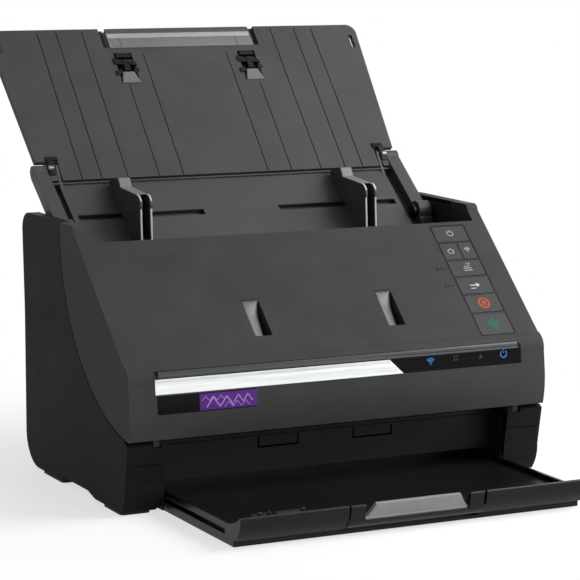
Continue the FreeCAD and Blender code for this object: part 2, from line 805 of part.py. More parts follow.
def shaft_bushes():
    """Bearing bushes in the side plates, one at each end of each shaft."""
    bushes = []
    for row in range(3):
        y, z = row_axis(row)
        sleeve = rod(OPEN_HALF, OPEN_HALF + PLATE_T, y, z, BUSH_R)
        flange = rod(OPEN_HALF - 1.0, OPEN_HALF, y, z, BUSH_R + 1.2)
        bush = fused([sleeve, flange]).cut(rod(OPEN_HALF - 2, OPEN_HALF + 5, y, z, SHAFT_R + RUN_CLEAR))
        bushes += both(bush)
    return bushes


def drive_motor():
    """A can motor on the right side plate, with its mounting ring and shaft."""
    y, z = motor_centre()
    can_end = OPEN_HALF - MOTOR_LENGTH
    can = rod(can_end, OPEN_HALF - 1.5, y, z, MOTOR_R)
    can = rounded(can, 1.5, lambda e: e.BoundBox.XMax < can_end + 0.01)
    ring = rod(OPEN_HALF - 1.5, OPEN_HALF, y, z, MOTOR_R - 3.0)
    boss = rod(OPEN_HALF, OPEN_HALF + 1.8, y, z, MOTOR_BOSS_R)
    shaft_end = GEAR_X + GEAR_WIDTH + 0.5
    body = fused([can, ring, boss])
    return body.cut(rod(OPEN_HALF - 12.0, OPEN_HALF + 3, y, z, MOTOR_SHAFT_R + RUN_CLEAR)), rod(
        OPEN_HALF - 11.0, shaft_end, y, z, MOTOR_SHAFT_R
    )


def lower_sensor_unit():
    """The image sensor bar under the lower glass, with its foot brackets."""
    half = SENSOR_LENGTH / 2
    bar = box(-SENSOR_X, SENSOR_X, GLASS_U - half, GLASS_U + half, -GUIDE_T - SENSOR_DEPTH, -GUIDE_T)
    trough = box(
        -PAPER_W / 2, PAPER_W / 2, GLASS_U - 4.0, GLASS_U + 4.0, -GUIDE_T - 4.0, -GUIDE_T + 1
    )
    ear = box(SENSOR_X, OPEN_HALF, GLASS_U - 4.0, GLASS_U + 4.0, -GUIDE_T - SENSOR_DEPTH, -GUIDE_T - 6.0)
    return on_path(fused([bar.cut(trough)] + both(ear)))


def scan_glass(low):
    """A glass strip flush with a paper guide."""
    half = GLASS_LENGTH / 2
    x = PAPER_W / 2 + 1.8
    return on_path(box(-x, x, GLASS_U - half + 0.2, GLASS_U + half - 0.2, low, low + GLASS_T))


def main_board():
    """The control board at the back, its larger parts and its spacers."""
    z0, z1 = 26.0, 116.0
    y = BOARD_Y
    board = box(-PAPER_W / 2, 50.0, y - 1.6, y, z0, z1)
    parts = [
        box(-12.0, 12.0, y - 4.6, y - 1.6, 78.0, 102.0),
        box(20.0, 34.0, y - 3.4, y - 1.6, 84.0, 98.0),
        box(-50.0, -36.0, y - 3.4, y - 1.6, 80.0, 94.0),
        box(-30.0, 30.0, y - 7.0, y - 1.6, 46.0, 52.0),
    ]
    for x, z in ((-92.0, 70.0), (-78.0, 70.0), (-64.0, 70.0)):
        parts.append(Part.makeCylinder(4.0, 9.0, V(x, y - 1.6, z), V(0, -1, 0)))
    spacers = [
        Part.makeCylinder(3.0, 9.4, V(x, y, z), V(0, 1, 0)) for x in (-102.0, 44.0) for z in (z0 + 20, z1 - 6)
    ]
    return fused([board] + parts + spacers)


def power_inlet():
    """A round low-voltage inlet: a block on the board with a socket and its centre pin."""
    y0 = 150.0
    body = box(INLET_X - 6.0, INLET_X + 6.0, y0, REAR_Y - 0.6, SOCKET_Z - 4.5, SOCKET_Z + 4.5)
    hole = Part.makeCylinder(INLET_R, 10.0, V(INLET_X, REAR_Y - 0.6, SOCKET_Z), V(0, -1, 0))
    pin = Part.makeCylinder(1.0, 9.0, V(INLET_X, REAR_Y - 10.6, SOCKET_Z), V(0, 1, 0))
    return fused([body.cut(hole), pin])


def usb_port():
    """A square data socket on the board, with its tongue."""
    y0 = 150.0
    body = box(USB_X - 5.4, USB_X + 5.4, y0, REAR_Y - 0.6, SOCKET_Z - 5.0, SOCKET_Z + 5.0)
    hole = box(USB_X - 4.4, USB_X + 4.4, REAR_Y - 10.0, REAR_Y + 1, SOCKET_Z - 4.0, SOCKET_Z + 4.0)
    tongue = box(USB_X - 2.6, USB_X + 2.6, REAR_Y - 10.0, REAR_Y - 2.0, SOCKET_Z - 1.4, SOCKET_Z + 1.4)
    return fused([body.cut(hole), tongue])


def cover_panel_block(x0, x1, s0, s1, w0, w1):
    """A block in slope panel coordinates, s measured down from the rear edge."""
    return on_panel(box(x0, x1, -s1, -s0, w0, w1))


def scoop_cut(x):
    """The hollow that a finger scoop takes out of the slope panel, its floor a shallow arc."""
    half = SCOOP_W / 2
    floor = [
        panel_point(SCOOP_TOP, 0.5),
        panel_point(SCOOP_TOP, -0.6),
        ("arc", panel_point(SCOOP_TOP + 14.0, -SCOOP_DEPTH + 1.4), panel_point(SCOOP_END, -SCOOP_DEPTH)),
        panel_point(SCOOP_END, 0.5),
    ]
    return prism(floor, x - half, x + half)


def cover_shell():
    """The hinged front: slope panel, skirts, well cheeks, floor, funnel lip and hinge ears."""
    disc = seam_disc(SEAM_R, -HALF - 1, HALF + 1)
    outer = prism(body_profile(), -HALF, HALF)
    inner = prism(body_profile(-WALL), -HALF + WALL, HALF - WALL)
    well = box(-PANEL_W / 2, PANEL_W / 2, PANEL_REAR_Y, 130.0, 110.0, TOP_Z + 5)
    low = box(-HALF - 1, HALF + 1, -20, 30, 0, COVER_BOTTOM_Z)
    shell = outer.cut(inner).common(disc).cut(well).cut(low)
    floor = box(-BAY_HALF, BAY_HALF, -3.0, 24.0, COVER_BOTTOM_Z, COVER_BOTTOM_Z + 2.5)
    ends = box(-HALF + WALL, HALF - WALL, -6.5, 1.5, COVER_BOTTOM_Z, COVER_BOTTOM_Z + 2.5).common(outer)
    cheek_x = PANEL_W / 2
    cheek = outer.common(disc).common(box(cheek_x, cheek_x + 2.4, 64.0, 130.0, 118.0, TOP_Z + 1))
    top = path_point(FUNNEL_U, PATH_GAP)
    lip = prism(
        [
            (PANEL_REAR_Y, PANEL_REAR_Z),
            top,
            (top[0] - 1.0, top[1] - 2.6),
            (PANEL_REAR_Y - 2.6, PANEL_REAR_Z - 4.6),
        ],
        -cheek_x,
        cheek_x,
    )
    lip_side = lip.common(box(-OPEN_HALF + 1, OPEN_HALF - 1, 0, 200, 0, 200))
    rim = lip.common(box(-cheek_x, cheek_x, 0, PANEL_REAR_Y + 8.0, 0, 200))
    pads = []
    half = SCOOP_W / 2 + 2.0
    for x in (-SCOOP_X, SCOOP_X):
        pads.append(
            cover_panel_block(x - half, x + half, SCOOP_TOP - 2, SCOOP_END + 2, -SCOOP_DEPTH - 2, -2.0)
        )
    ear_x = OPEN_HALF + 4.0 + SIDE_CLEAR
    ear = fused(
        [
            rod(ear_x, ear_x + 4.0, COVER_HINGE_Y, COVER_HINGE_Z, COVER_EAR_R),
            box(
                ear_x, ear_x + 4.0, COVER_HINGE_Y - COVER_EAR_R, COVER_HINGE_Y + COVER_EAR_R - 0.8,
                COVER_HINGE_Z, COVER_BOTTOM_Z + 1.0,
            ),
        ]
    ).cut(rod(ear_x - 1, ear_x + 5, COVER_HINGE_Y, COVER_HINGE_Z, COVER_PIN_R + RUN_CLEAR))
    posts = []
    for x in (STRIP_IN - 3.0, STRIP_OUT + 3.0):
        for s in (20.0, 86.0):
            posts.append(cover_panel_block(x - 2.5, x + 2.5, s - 2.5, s + 2.5, -BOARD_DROP, -2.0))
    pivot = rod(-cheek_x, -cheek_x + 6.0, LEVER_Y, LEVER_Z, 2.2)
    shell = fused([shell, floor, ends, lip_side, rim, pivot] + both(cheek) + both(ear) + pads + posts)
    tools = [scoop_cut(-SCOOP_X), scoop_cut(SCOOP_X)]
    tools.append(cover_panel_block(STRIP_IN, STRIP_OUT, STRIP_ROWS[0], STRIP_ROWS[-1], -WALL - 3, 3.0))
    tools.append(inlay(window_band()))
    tools.append(inlay(box(BADGE_X0, BADGE_X1, -20, 0, BADGE_LOW, BADGE_TOP)))
    return cut(shell, tools)


def window_band():
    """The band across the front that holds the indicator window and the bright strip."""
    return box(-WINDOW_X, WINDOW_X, -20, 6, WINDOW_LOW, WINDOW_TOP)


def inlay(region, depth=INLAY_DEPTH):
    """The outermost layer of the front within a region."""
    outer = prism(body_profile(0.0), -HALF, HALF)
    inner = prism(body_profile(-depth), -HALF - 1, HALF + 1)
    return outer.cut(inner).common(region)


def silver_region():
    """The bright strip's outline seen from the front, with its slanted end."""
    z0, z1 = WINDOW_LOW, STRIP_SILVER_TOP
    face = Part.Face(
        Part.makePolygon(
            [
                V(-WINDOW_X, -20, z0),
                V(SILVER_END_LOW, -20, z0),
                V(SILVER_END_TOP, -20, z1),
                V(-WINDOW_X, -20, z1),
                V(-WINDOW_X, -20, z0),
            ]
        )
    )
    return face.extrude(V(0, 30, 0))


def cover_inner_guide():
    """The cover's side of the paper path, with side cheeks that carry the pinch rollers."""
    x = PAPER_W / 2 + 10.0
    near, far = PATH_GAP, PATH_GAP + COVER_GUIDE_T
    sheet = on_path(box(-x, x, 2.0, FUNNEL_U - LIP_SEAT, near, far))
    rows = [
        (PICKUP_U, SEPARATION_R, [(-PICKUP_W / 2 + 6, PICKUP_W / 2 - 6)]),
        (FEED_U, PINCH_R - 0.4, roller_spans()),
        (EXIT_U, PINCH_R - 0.4, roller_spans()),
    ]
    tools = [on_path(t) for t in roller_windows(near - 4.0, far + 6.0, rows)]
    tools.append(
        on_path(
            box(
                -PAPER_W / 2 - 2, PAPER_W / 2 + 2, GLASS_U - GLASS_LENGTH / 2, GLASS_U + GLASS_LENGTH / 2,
                near - 1, far + 1,
            )
        )
    )
    sheet = cut(sheet, tools)
    cheek = prism(
        [
            path_point(2.0, near),
            path_point(FUNNEL_U - LIP_SEAT - 4.0, near),
            panel_point(14.0, -CHEEK_DROP),
            panel_point(88.0, -CHEEK_DROP),
            (6.0, COVER_BOTTOM_Z + 2.5),
            (24.0, COVER_BOTTOM_Z + 2.5),
        ],
        x,
        x + 2.5,
    )
    holes = []
    for row in (1, 2):
        y, z = pinch_axis(row)
        holes.append(rod(x - 1, x + 5, y, z, PINCH_SHAFT_R + RUN_CLEAR))
    cheek = cut(cheek, holes)
    ribs = []
    for rx in (-60.0, 0.0, 60.0):
        ribs.append(on_path(box(rx - 1.0, rx + 1.0, 12.0, FEED_U - 11.0, far, far + 1.5)))
    separation = pinch_axis(0)
    ears = []
    for ex in (PICKUP_W / 2 - 5.0, -PICKUP_W / 2 + 2.0):
        ear = on_path(box(ex, ex + 3.0, PICKUP_U - 6.0, PICKUP_U + 6.0, far - 0.5, far + 12.0))
        ears.append(ear.cut(rod(ex - 1, ex + 4, separation[0], separation[1], PINCH_SHAFT_R + RUN_CLEAR)))
    keep = [r.cut(on_path(box(-x, x, 20.0, 48.0, far - 1, far + 3))) for r in ribs]
    return fused([sheet] + both(cheek) + ears + [k for k in keep if k.Volume > 1])


def pinch_rollers(row):
    """Idle rollers on a thin shaft in the cover, one for each driven roller."""
    y, z = pinch_axis(row)
    x = PAPER_W / 2 + 12.5
    shaft = rod(-x, x, y, z, PINCH_SHAFT_R)
    return fused([shaft] + [rod(x0 + 1, x1 - 1, y, z, PINCH_R) for x0, x1 in roller_spans()])


def separation_roller():
    """The grooved retard roller that faces the pickup roller."""
    y, z = pinch_axis(0)
    half = PICKUP_W / 2
    wheel = rod(-half + 7.0, half - 7.0, y, z, SEPARATION_R)
    grooves = []
    for i in range(5):
        x = -half + 11.0 + i * (PICKUP_W - 22.0) / 4
        core = rod(x - 1, x + 1, y, z, SEPARATION_R - 0.9)
        grooves.append(rod(x - 0.7, x + 0.7, y, z, SEPARATION_R + 1).cut(core))
    shaft = rod(-half + 1.0, half - 1.0, y, z, PINCH_SHAFT_R)
    return fused([cut(wheel, grooves), shaft])


def upper_sensor_unit():
    """The image sensor bar behind the upper glass, with ears to the cheeks."""
    half = SENSOR_LENGTH / 2
    far = PATH_GAP + COVER_GUIDE_T
    bar = box(-SENSOR_X, SENSOR_X, GLASS_U - half, GLASS_U + half, far, far + SENSOR_DEPTH)
    trough = box(-PAPER_W / 2, PAPER_W / 2, GLASS_U - 4.0, GLASS_U + 4.0, far - 1, far + 4.0)
    ear = box(SENSOR_X, PAPER_W / 2 + 10.0, GLASS_U - 4.0, GLASS_U + 4.0, far + 5.0, far + SENSOR_DEPTH)
    return on_path(fused([bar.cut(trough)] + both(ear)))


def button_cells():
    """The field of each button on the strip, in panel coordinates, with its name."""
    names = ["power", "quick_send", "wireless", "feed_check", "feeder_mode", "stop", "start"]
    cells = []
    for i, (s0, s1) in enumerate(zip(STRIP_ROWS, STRIP_ROWS[1:])):
        if i == 1:
            cells.append((STRIP_IN, STRIP_SPLIT, s0, s1))
            cells.append((STRIP_SPLIT, STRIP_OUT, s0, s1))
        else:
            cells.append((STRIP_IN, STRIP_OUT, s0, s1))
    return dict(zip(names, cells))


def cell_block(cell, inset, w0, w1, r=1.0):
    """A block with rounded corners that fills a button's field less an inset."""
    x0, x1, s0, s1 = cell
    return on_panel(plate(x0 + inset, x1 - inset, -s1 + inset, -s0 - inset, w0, w1, r))


def control_strip():
    """The frame around the buttons."""
    body = box(STRIP_IN + 0.1, STRIP_OUT - 0.1, -STRIP_ROWS[-1] + 0.1, -STRIP_ROWS[0] - 0.1, -STRIP_T, -0.15)
    tools = [cell_block(c, STRIP_RIB, -STRIP_T - 1, 1.0) for c in button_cells().values()]
    return cut(on_panel(body), tools)


def button(cell):
    """One key cap with its stem down to the switch."""
    cap = cell_block(cell, STRIP_RIB + BUTTON_GAP, -BUTTON_T, 0.0)
    x0, x1, s0, s1 = cell
    x, s = (x0 + x1) / 2, (s0 + s1) / 2
    stem = on_panel(Part.makeCylinder(1.5, BUTTON_STEM, V(x, -s, -BUTTON_T - BUTTON_STEM)))
    return fused([cap, stem])


def control_board():
    """The circuit board under the strip, with one small switch under each button."""
    t = 1.6
    x0, x1 = STRIP_IN - 6.0, STRIP_OUT + 6.0
    board = box(x0, x1, 4 - STRIP_ROWS[-1], -STRIP_ROWS[0] - 6, -BOARD_DROP - t, -BOARD_DROP)
    parts = [on_panel(board)]
    top = -BUTTON_T - BUTTON_STEM - BUTTON_TRAVEL - 0.15
    for x0, x1, s0, s1 in button_cells().values():
        x, s = (x0 + x1) / 2, (s0 + s1) / 2
        parts.append(on_panel(box(x - 2.5, x + 2.5, -s - 2.5, -s + 2.5, -BOARD_DROP, top)))
    return fused(parts)


def release_lever():
    """The lever beside the feed mouth that frees the cover."""
    x0 = -PANEL_W / 2 + SIDE_CLEAR
    x1 = x0 + 5.0
    points = [
        (LEVER_Y - 4.0, LEVER_Z - 2.0),
        ("arc", (LEVER_Y + 0.5, LEVER_Z - 4.6), (LEVER_Y + 4.5, LEVER_Z - 1.0)),
        (LEVER_Y + 8.5, LEVER_Z + 20.0),
        ("arc", (LEVER_Y + 7.0, LEVER_Z + 23.0), (LEVER_Y + 4.0, LEVER_Z + 22.0)),
    ]
    arm = prism(points, x0, x1)
    return arm.cut(rod(x0 - 1, x1 + 1, LEVER_Y, LEVER_Z, 2.2 + RUN_CLEAR))


def tray_base():
    """The chute: paper floor between two arms, with hinge hubs and edge guide slots."""
    half = FLOOR_W / 2
    low = -CHUTE_LOW
    floor_end = CHUTE_LENGTH - TRAY_TAIL - 2.0
    floor = box(-half, half, low, floor_end, -FLOOR_DROP - FLOOR_T, -FLOOR_DROP)
    web = box(-ARM_OUT + 1, ARM_OUT - 1, -10.0, floor_end + 1.0, -BACK_DROP, -BACK_DROP + 1.0)
    wall = box(half - 2.0, half, -10.0, floor_end, -BACK_DROP, -FLOOR_DROP)
    arm_in = ARM_OUT - ARM_W
    arm_steps = [
        (-12.0, -BACK_DROP),
        (-12.0, ARM_RISE - 3.0),
        (-9.0, ARM_RISE),
        (CHUTE_LENGTH - 4.0, ARM_RISE),
        ("arc", (CHUTE_LENGTH + 3.6, -0.6), (CHUTE_LENGTH + 1.0, -BACK_DROP + 1.0)),
        (CHUTE_LENGTH - 2.0, -BACK_DROP),
    ]
    arm = prism(arm_steps, arm_in, ARM_OUT)
    hub = rod(arm_in, ARM_OUT, 0.0, 0.0, TRAY_HUB_R)
    trough_in, trough_out = TRAY_TAIL + 1.0, TRAY_TAIL + 2.4
    start, mid, end = 184.0, 223.0, 262.0
    inner = [polar(CHUTE_LENGTH, 0, trough_in, a) for a in (start, mid, end)]
    outer = [polar(CHUTE_LENGTH, 0, trough_out, a) for a in (end, mid, start)]
    bend = [inner[0], ("arc", inner[1], inner[2]), outer[0], ("arc", outer[1], outer[2])]
    trough = prism(bend, -arm_in - 1.0, arm_in + 1.0)
    ear = prism(
        [
            (floor_end - 6.0, -BACK_DROP),
            (floor_end - 6.0, -FLOOR_DROP - 0.5),
            (CHUTE_LENGTH - 2.0, 2.4),
            ("arc", (CHUTE_LENGTH + 3.2, 0.6), (CHUTE_LENGTH + 2.0, -3.0)),
        ],
        half - 2.0,
        half,
    )
    body = fused([floor, web, trough] + both(wall) + both(arm) + both(hub) + both(ear))
    bore = TRAY_PIN_R + RUN_CLEAR
    tools = both(rod(arm_in - 1, ARM_OUT + 1, 0.0, 0.0, bore))
    tools += both(rod(half - 3.0, ARM_OUT - 2.0, CHUTE_LENGTH, 0.0, PANEL_PIN_R))
    slot = GUIDE_SLOT_W / 2
    run_in = GUIDE_X - GUIDE_IN - 4.0
    run_out = GUIDE_X + GUIDE_W + GUIDE_OUT + 1.0
    s0, s1 = GUIDE_SLOT_S - slot, GUIDE_SLOT_S + slot
    tools += both(box(run_in, run_out, s0, s1, -FLOOR_DROP - FLOOR_T - 1, -FLOOR_DROP + 1))
    stud_top = -FLOOR_DROP - FLOOR_T + PINION_STUD_IN
    tools.append(Part.makeCylinder(PINION_STUD_R + RUN_CLEAR, 10.0, V(0, GUIDE_SLOT_S, stud_top - 9.8)))
    return on_chute(cut(body, tools))


def rack(direction):
    """A toothed bar under the floor: its pitch line runs beside the pinion."""
    pitch = math.pi * RACK_MODULE
    line = GUIDE_SLOT_S + direction * RACK_MODULE * RACK_PINION_TEETH / 2
    low, high = -BACK_DROP + 1.1, -FLOOR_DROP - FLOOR_T - 0.1
    x0, x1 = -40.0, GUIDE_X + 1.0
    root = line + direction * 1.25 * RACK_MODULE
    back = root + direction * 2.4
    bar = box(x0, x1, min(root, back), max(root, back), low, high)
    lean = math.tan(math.radians(20)) * RACK_MODULE
    half = pitch / 4 - GEAR_BACKLASH / 2
    teeth = []
    count = int((x1 - x0) / pitch)
    first = -(int(-x0 / pitch) - 0.5) * pitch
    for i in range(count):
        x = first + i * pitch
        if x + half + 1.25 * lean > x1 or x - half - 1.25 * lean < x0:
            continue
        tip = line - direction * 0.9 * RACK_MODULE
        foot = root + direction * 0.05
        points = [
            V(x - half - 1.25 * lean, foot, low),
            V(x - half + 0.9 * lean, tip, low),
            V(x + half - 0.9 * lean, tip, low),
            V(x + half + 1.25 * lean, foot, low),
        ]
        face = Part.Face(Part.makePolygon(points + points[:1]))
        teeth.append(face.extrude(V(0, 0, high - low)))
    return fused([bar] + teeth)


def edge_guide():
    """The right edge guide: a hollow fin with a grip, its foot and its toothed bar."""
    x0, x1 = GUIDE_X, GUIDE_X + GUIDE_W
    base = -FLOOR_DROP + 0.15
    steps = [
        (-CHUTE_LOW, base),
        (41.0, base),
        (43.0, base + 4.0),
        (34.0, 12.5),
        (27.0, 10.0),
        (4.5, 25.0),
        ("arc", (-1.6, 26.0), (-6.0, 21.0)),
        (-CHUTE_LOW, 5.5),
    ]
    fin = prism(steps, x0, x1)
    inner = box(x0 + GUIDE_WALL, x1 - GUIDE_WALL, -30.0, 10.0, base + 3.0, 40.0)
    fin = fin.cut(inner)
    neck_half = GUIDE_SLOT_W / 2 - 0.3
    neck = box(
        x0 + 0.6, x1 - 0.6, GUIDE_SLOT_S - neck_half, GUIDE_SLOT_S + neck_half, -BACK_DROP + 1.1, base
    )
    link = box(
        x0 + 0.6, x1 - 0.6, GUIDE_SLOT_S - 9.0, GUIDE_SLOT_S + neck_half, -BACK_DROP + 1.1,
        -FLOOR_DROP - FLOOR_T - 0.1,
    )
    return fused([fin, neck, link, rack(-1)])


def edge_guides():
    """Both guides: the left one is the right one turned half round the pinion, fins mirrored."""
    right = edge_guide()
    left_fin = mirror(edge_guide_fin())
    left_bar = mirror(rack(1))
    return on_chute(right), on_chute(fused([left_fin, left_bar]))


def edge_guide_fin():
    """The fin, neck and link of a guide whose toothed bar lies above the pinion."""
    x0, x1 = GUIDE_X, GUIDE_X + GUIDE_W
    base = -FLOOR_DROP + 0.15
    whole = edge_guide()
    keep = box(x0 - 0.01, x1 + 0.01, -40, 60, base, 60)
    fin = whole.common(keep)
    neck_half = GUIDE_SLOT_W / 2 - 0.3
    low = -BACK_DROP + 1.1
    neck = box(x0 + 0.6, x1 - 0.6, GUIDE_SLOT_S - neck_half, GUIDE_SLOT_S + neck_half, low, base)
    link = box(
        x0 + 0.6, x1 - 0.6, GUIDE_SLOT_S - neck_half, GUIDE_SLOT_S + 9.0, low,
        -FLOOR_DROP - FLOOR_T - 0.1,
    )
    return fused([fin, neck, link])


def guide_pinion():
    """The small gear under the floor that makes the guides move together."""
    low, high = -BACK_DROP + 1.2, -FLOOR_DROP - FLOOR_T - 0.2
    body = gear_face(RACK_PINION_TEETH, RACK_MODULE, GEAR_BACKLASH).extrude(V(0, 0, high - low))
    body.rotate(V(0, 0, 0), V(0, 0, 1), 90.0)
    body.translate(V(0, GUIDE_SLOT_S, low))
    stud_top = -FLOOR_DROP - FLOOR_T + PINION_STUD_IN
    stud = Part.makeCylinder(PINION_STUD_R, stud_top - low, V(0, GUIDE_SLOT_S, low))
    return on_chute(fused([body, stud]))


def tray_panel():
    """The wide upper panel with its slots, hook windows, back ribs and hinge ears."""
    half = TRAY_W / 2
    low_half = TRAY_LOW_W / 2
    corners = [
        V(-low_half, -TRAY_TAIL, -TRAY_T),
        V(low_half, -TRAY_TAIL, -TRAY_T),
        V(half, TRAY_LENGTH, -TRAY_T),
        V(-half, TRAY_LENGTH, -TRAY_T),
    ]
    sheet = Part.Face(Part.makePolygon(corners + corners[:1])).extrude(V(0, 0, TRAY_T))
    sheet = rounded(
        sheet, 7.0, lambda e: along_z(e) and e.BoundBox.YMin > TRAY_LENGTH - 1
    )
    tail_in = FLOOR_W / 2 - 2.8
    ear_in, ear_out = FLOOR_W / 2 + 0.5, ARM_OUT - ARM_W - 0.5
    tools = both(box(tail_in, ear_in, -TRAY_TAIL - 1, NOTCH_TOP, -TRAY_T - 1, 1))
    tools += both(box(ear_out, half + 1, -TRAY_TAIL - 1, NOTCH_TOP, -TRAY_T - 1, 1))
    hook = HOOK_W / 2
    for x in (-HOOK_X, HOOK_X):
        tools.append(box(x - hook, x + hook, HOOK_LOW, HOOK_LOW + HOOK_H, -TRAY_T - 1, 1))
    hand = HANDLE_W / 2
    tools.append(box(-hand, hand, TRAY_LENGTH - HANDLE_H, TRAY_LENGTH + 1, -TRAY_T - 1, 1))
    pocket = hand + HANDLE_POCKET
    tools.append(box(-pocket, pocket, TRAY_LENGTH - HANDLE_H + 1.0, TRAY_LENGTH + 1, -TRAY_T + 0.9, 1))
    for x in (-136.0, 136.0):
        tools.append(box(x - 1.4, x + 1.4, 95.0, 106.0, -TRAY_T - 1, 1))
    for x, end in GROOVES:
        tools += both(box(x - 0.5, x + 0.5, -TRAY_TAIL - 1, end, -0.4, 1))
    sheet = cut(sheet, tools)
    ramp_foot, ramp_top = HOOK_W - 0.4, HOOK_W * 0.6
    corners = [
        V(HOOK_X - ramp_foot / 2, HOOK_LOW - 0.5, -TRAY_T),
        V(HOOK_X + ramp_foot / 2, HOOK_LOW - 0.5, -TRAY_T),
        V(HOOK_X + ramp_top / 2, HOOK_LOW + RAMP_H, -TRAY_T),
        V(HOOK_X - ramp_top / 2, HOOK_LOW + RAMP_H, -TRAY_T),
    ]
    slope = prism(
        [
            (HOOK_LOW - 0.5, -TRAY_T),
            (HOOK_LOW - 0.5, -0.3),
            (HOOK_LOW + RAMP_H, -TRAY_T + 0.8),
            (HOOK_LOW + RAMP_H, -TRAY_T),
        ],
        HOOK_X - HOOK_W,
        HOOK_X + HOOK_W,
    )
    ramp = Part.Face(Part.makePolygon(corners + corners[:1])).extrude(V(0, 0, TRAY_T)).common(slope)
    bar_low = HOOK_LOW + HOOK_H - 9.0
    bar = box(HOOK_X - HOOK_W / 2 - 0.5, HOOK_X + HOOK_W / 2 + 0.5, bar_low, bar_low + 4.0, -2.6, -1.2)
    pawl = box(HOOK_X - 1.0, HOOK_X + 3.6, HOOK_LOW + RAMP_H - 0.5, bar_low + 0.5, -TRAY_T, -TRAY_T + 1.2)
    side = box(low_half - 2.0, low_half, 16.0, TRAY_LENGTH - 8.0, -TRAY_T - 3.0, -TRAY_T)
    rail_end = TRAY_LENGTH - HANDLE_H - 1
    rail_low = -TRAY_T - EXTENSION_T - 2.0
    rail_x = EXTENSION_X + SIDE_CLEAR
    rail = [
        box(rail_x, rail_x + 2.0, 4.0, rail_end, rail_low, -TRAY_T),
        box(rail_x - 3.0, rail_x + 2.0, 4.0, rail_end, rail_low, rail_low + 1.4),
    ]
    drop = -TRAY_PIN_DROP
    ear = fused(
        [
            rod(ear_in, ear_out, 0.0, drop, 3.4),
            box(ear_in, ear_out, 0.0, 9.0, -TRAY_T - 2.2, -TRAY_T + 2.0),
            box(ear_in - 8.0, ear_out, 5.0, 13.0, -TRAY_T - 2.2, -TRAY_T + 1.0),
        ]
    )
    bridge = box(ear_in - 1.0, low_half, 14.0, 17.0, -TRAY_T - 2.2, -TRAY_T)
    pairs = [ramp, bar, pawl, side, rail[0], rail[1], ear, bridge]
    body = fused([sheet] + [piece for pair in pairs for piece in both(pair)])
    return on_tray(cut(body, both(rod(ear_in - 1, ear_out + 1, 0.0, drop, PANEL_PIN_R + RUN_CLEAR))))


def tray_extension():
    """The sheet that slides out of the wide panel between its back rails."""
    x = EXTENSION_X
    top = TRAY_LENGTH - HANDLE_H
    sheet = box(-x, x, 18.0, top, -TRAY_T - EXTENSION_T - 0.3, -TRAY_T - 0.3)
    return on_tray(sheet)


def extension_handle():
    """The light grip along the top of the extension."""
    x = HANDLE_W / 2 - 0.4
    top = TRAY_LENGTH - HANDLE_H
    grip = box(-x, x, top + 0.4, TRAY_LENGTH, -TRAY_T, 0.0)
    grip = rounded(grip, 2.5, lambda e: along_z(e) and e.BoundBox.YMin > TRAY_LENGTH - 1)
    back = box(-EXTENSION_X, EXTENSION_X, top, TRAY_LENGTH - 0.6, -TRAY_T - EXTENSION_T - 0.3, -TRAY_T)
    stripe = box(-x + 3.0, x - 8.0, top + 9.0, top + 13.5, -0.6, 1)
    return on_tray(fused([grip, back]).cut(stripe))


def panel_pins():
    """The two pins of the wide panel, fixed in the chute's arms and floor ears."""
    x0, x1 = FLOOR_W / 2 - 2.0, ARM_OUT - 2.0
    pin = rod(x0, x1, 0.0, 0.0, PANEL_PIN_R)
    out = []
    for piece in both(pin):
        out.append(tilt(piece, *chute_point(CHUTE_LENGTH, 0), CHUTE_ANGLE))
    return out


def tray_hinge_pins():
    """The two pins the whole input tray turns on, fixed in the well cheeks."""
    x0 = ARM_OUT - ARM_W - 1.2
    x1 = PANEL_W / 2 + 0.2 + WELL_PLATE_T
    pin = rod(x0, x1, TRAY_HINGE_Y, TRAY_HINGE_Z, TRAY_PIN_R)
    head = rod(x0 - 1.4, x0, TRAY_HINGE_Y, TRAY_HINGE_Z, TRAY_PIN_R + 1.6)
    return both(fused([pin, head]))


def cover_hinge_pins():
    """The two pins the cover turns on, fixed in the chassis bosses."""
    pin = rod(OPEN_HALF, OPEN_HALF + 8.3, COVER_HINGE_Y, COVER_HINGE_Z, COVER_PIN_R)
    return both(pin)


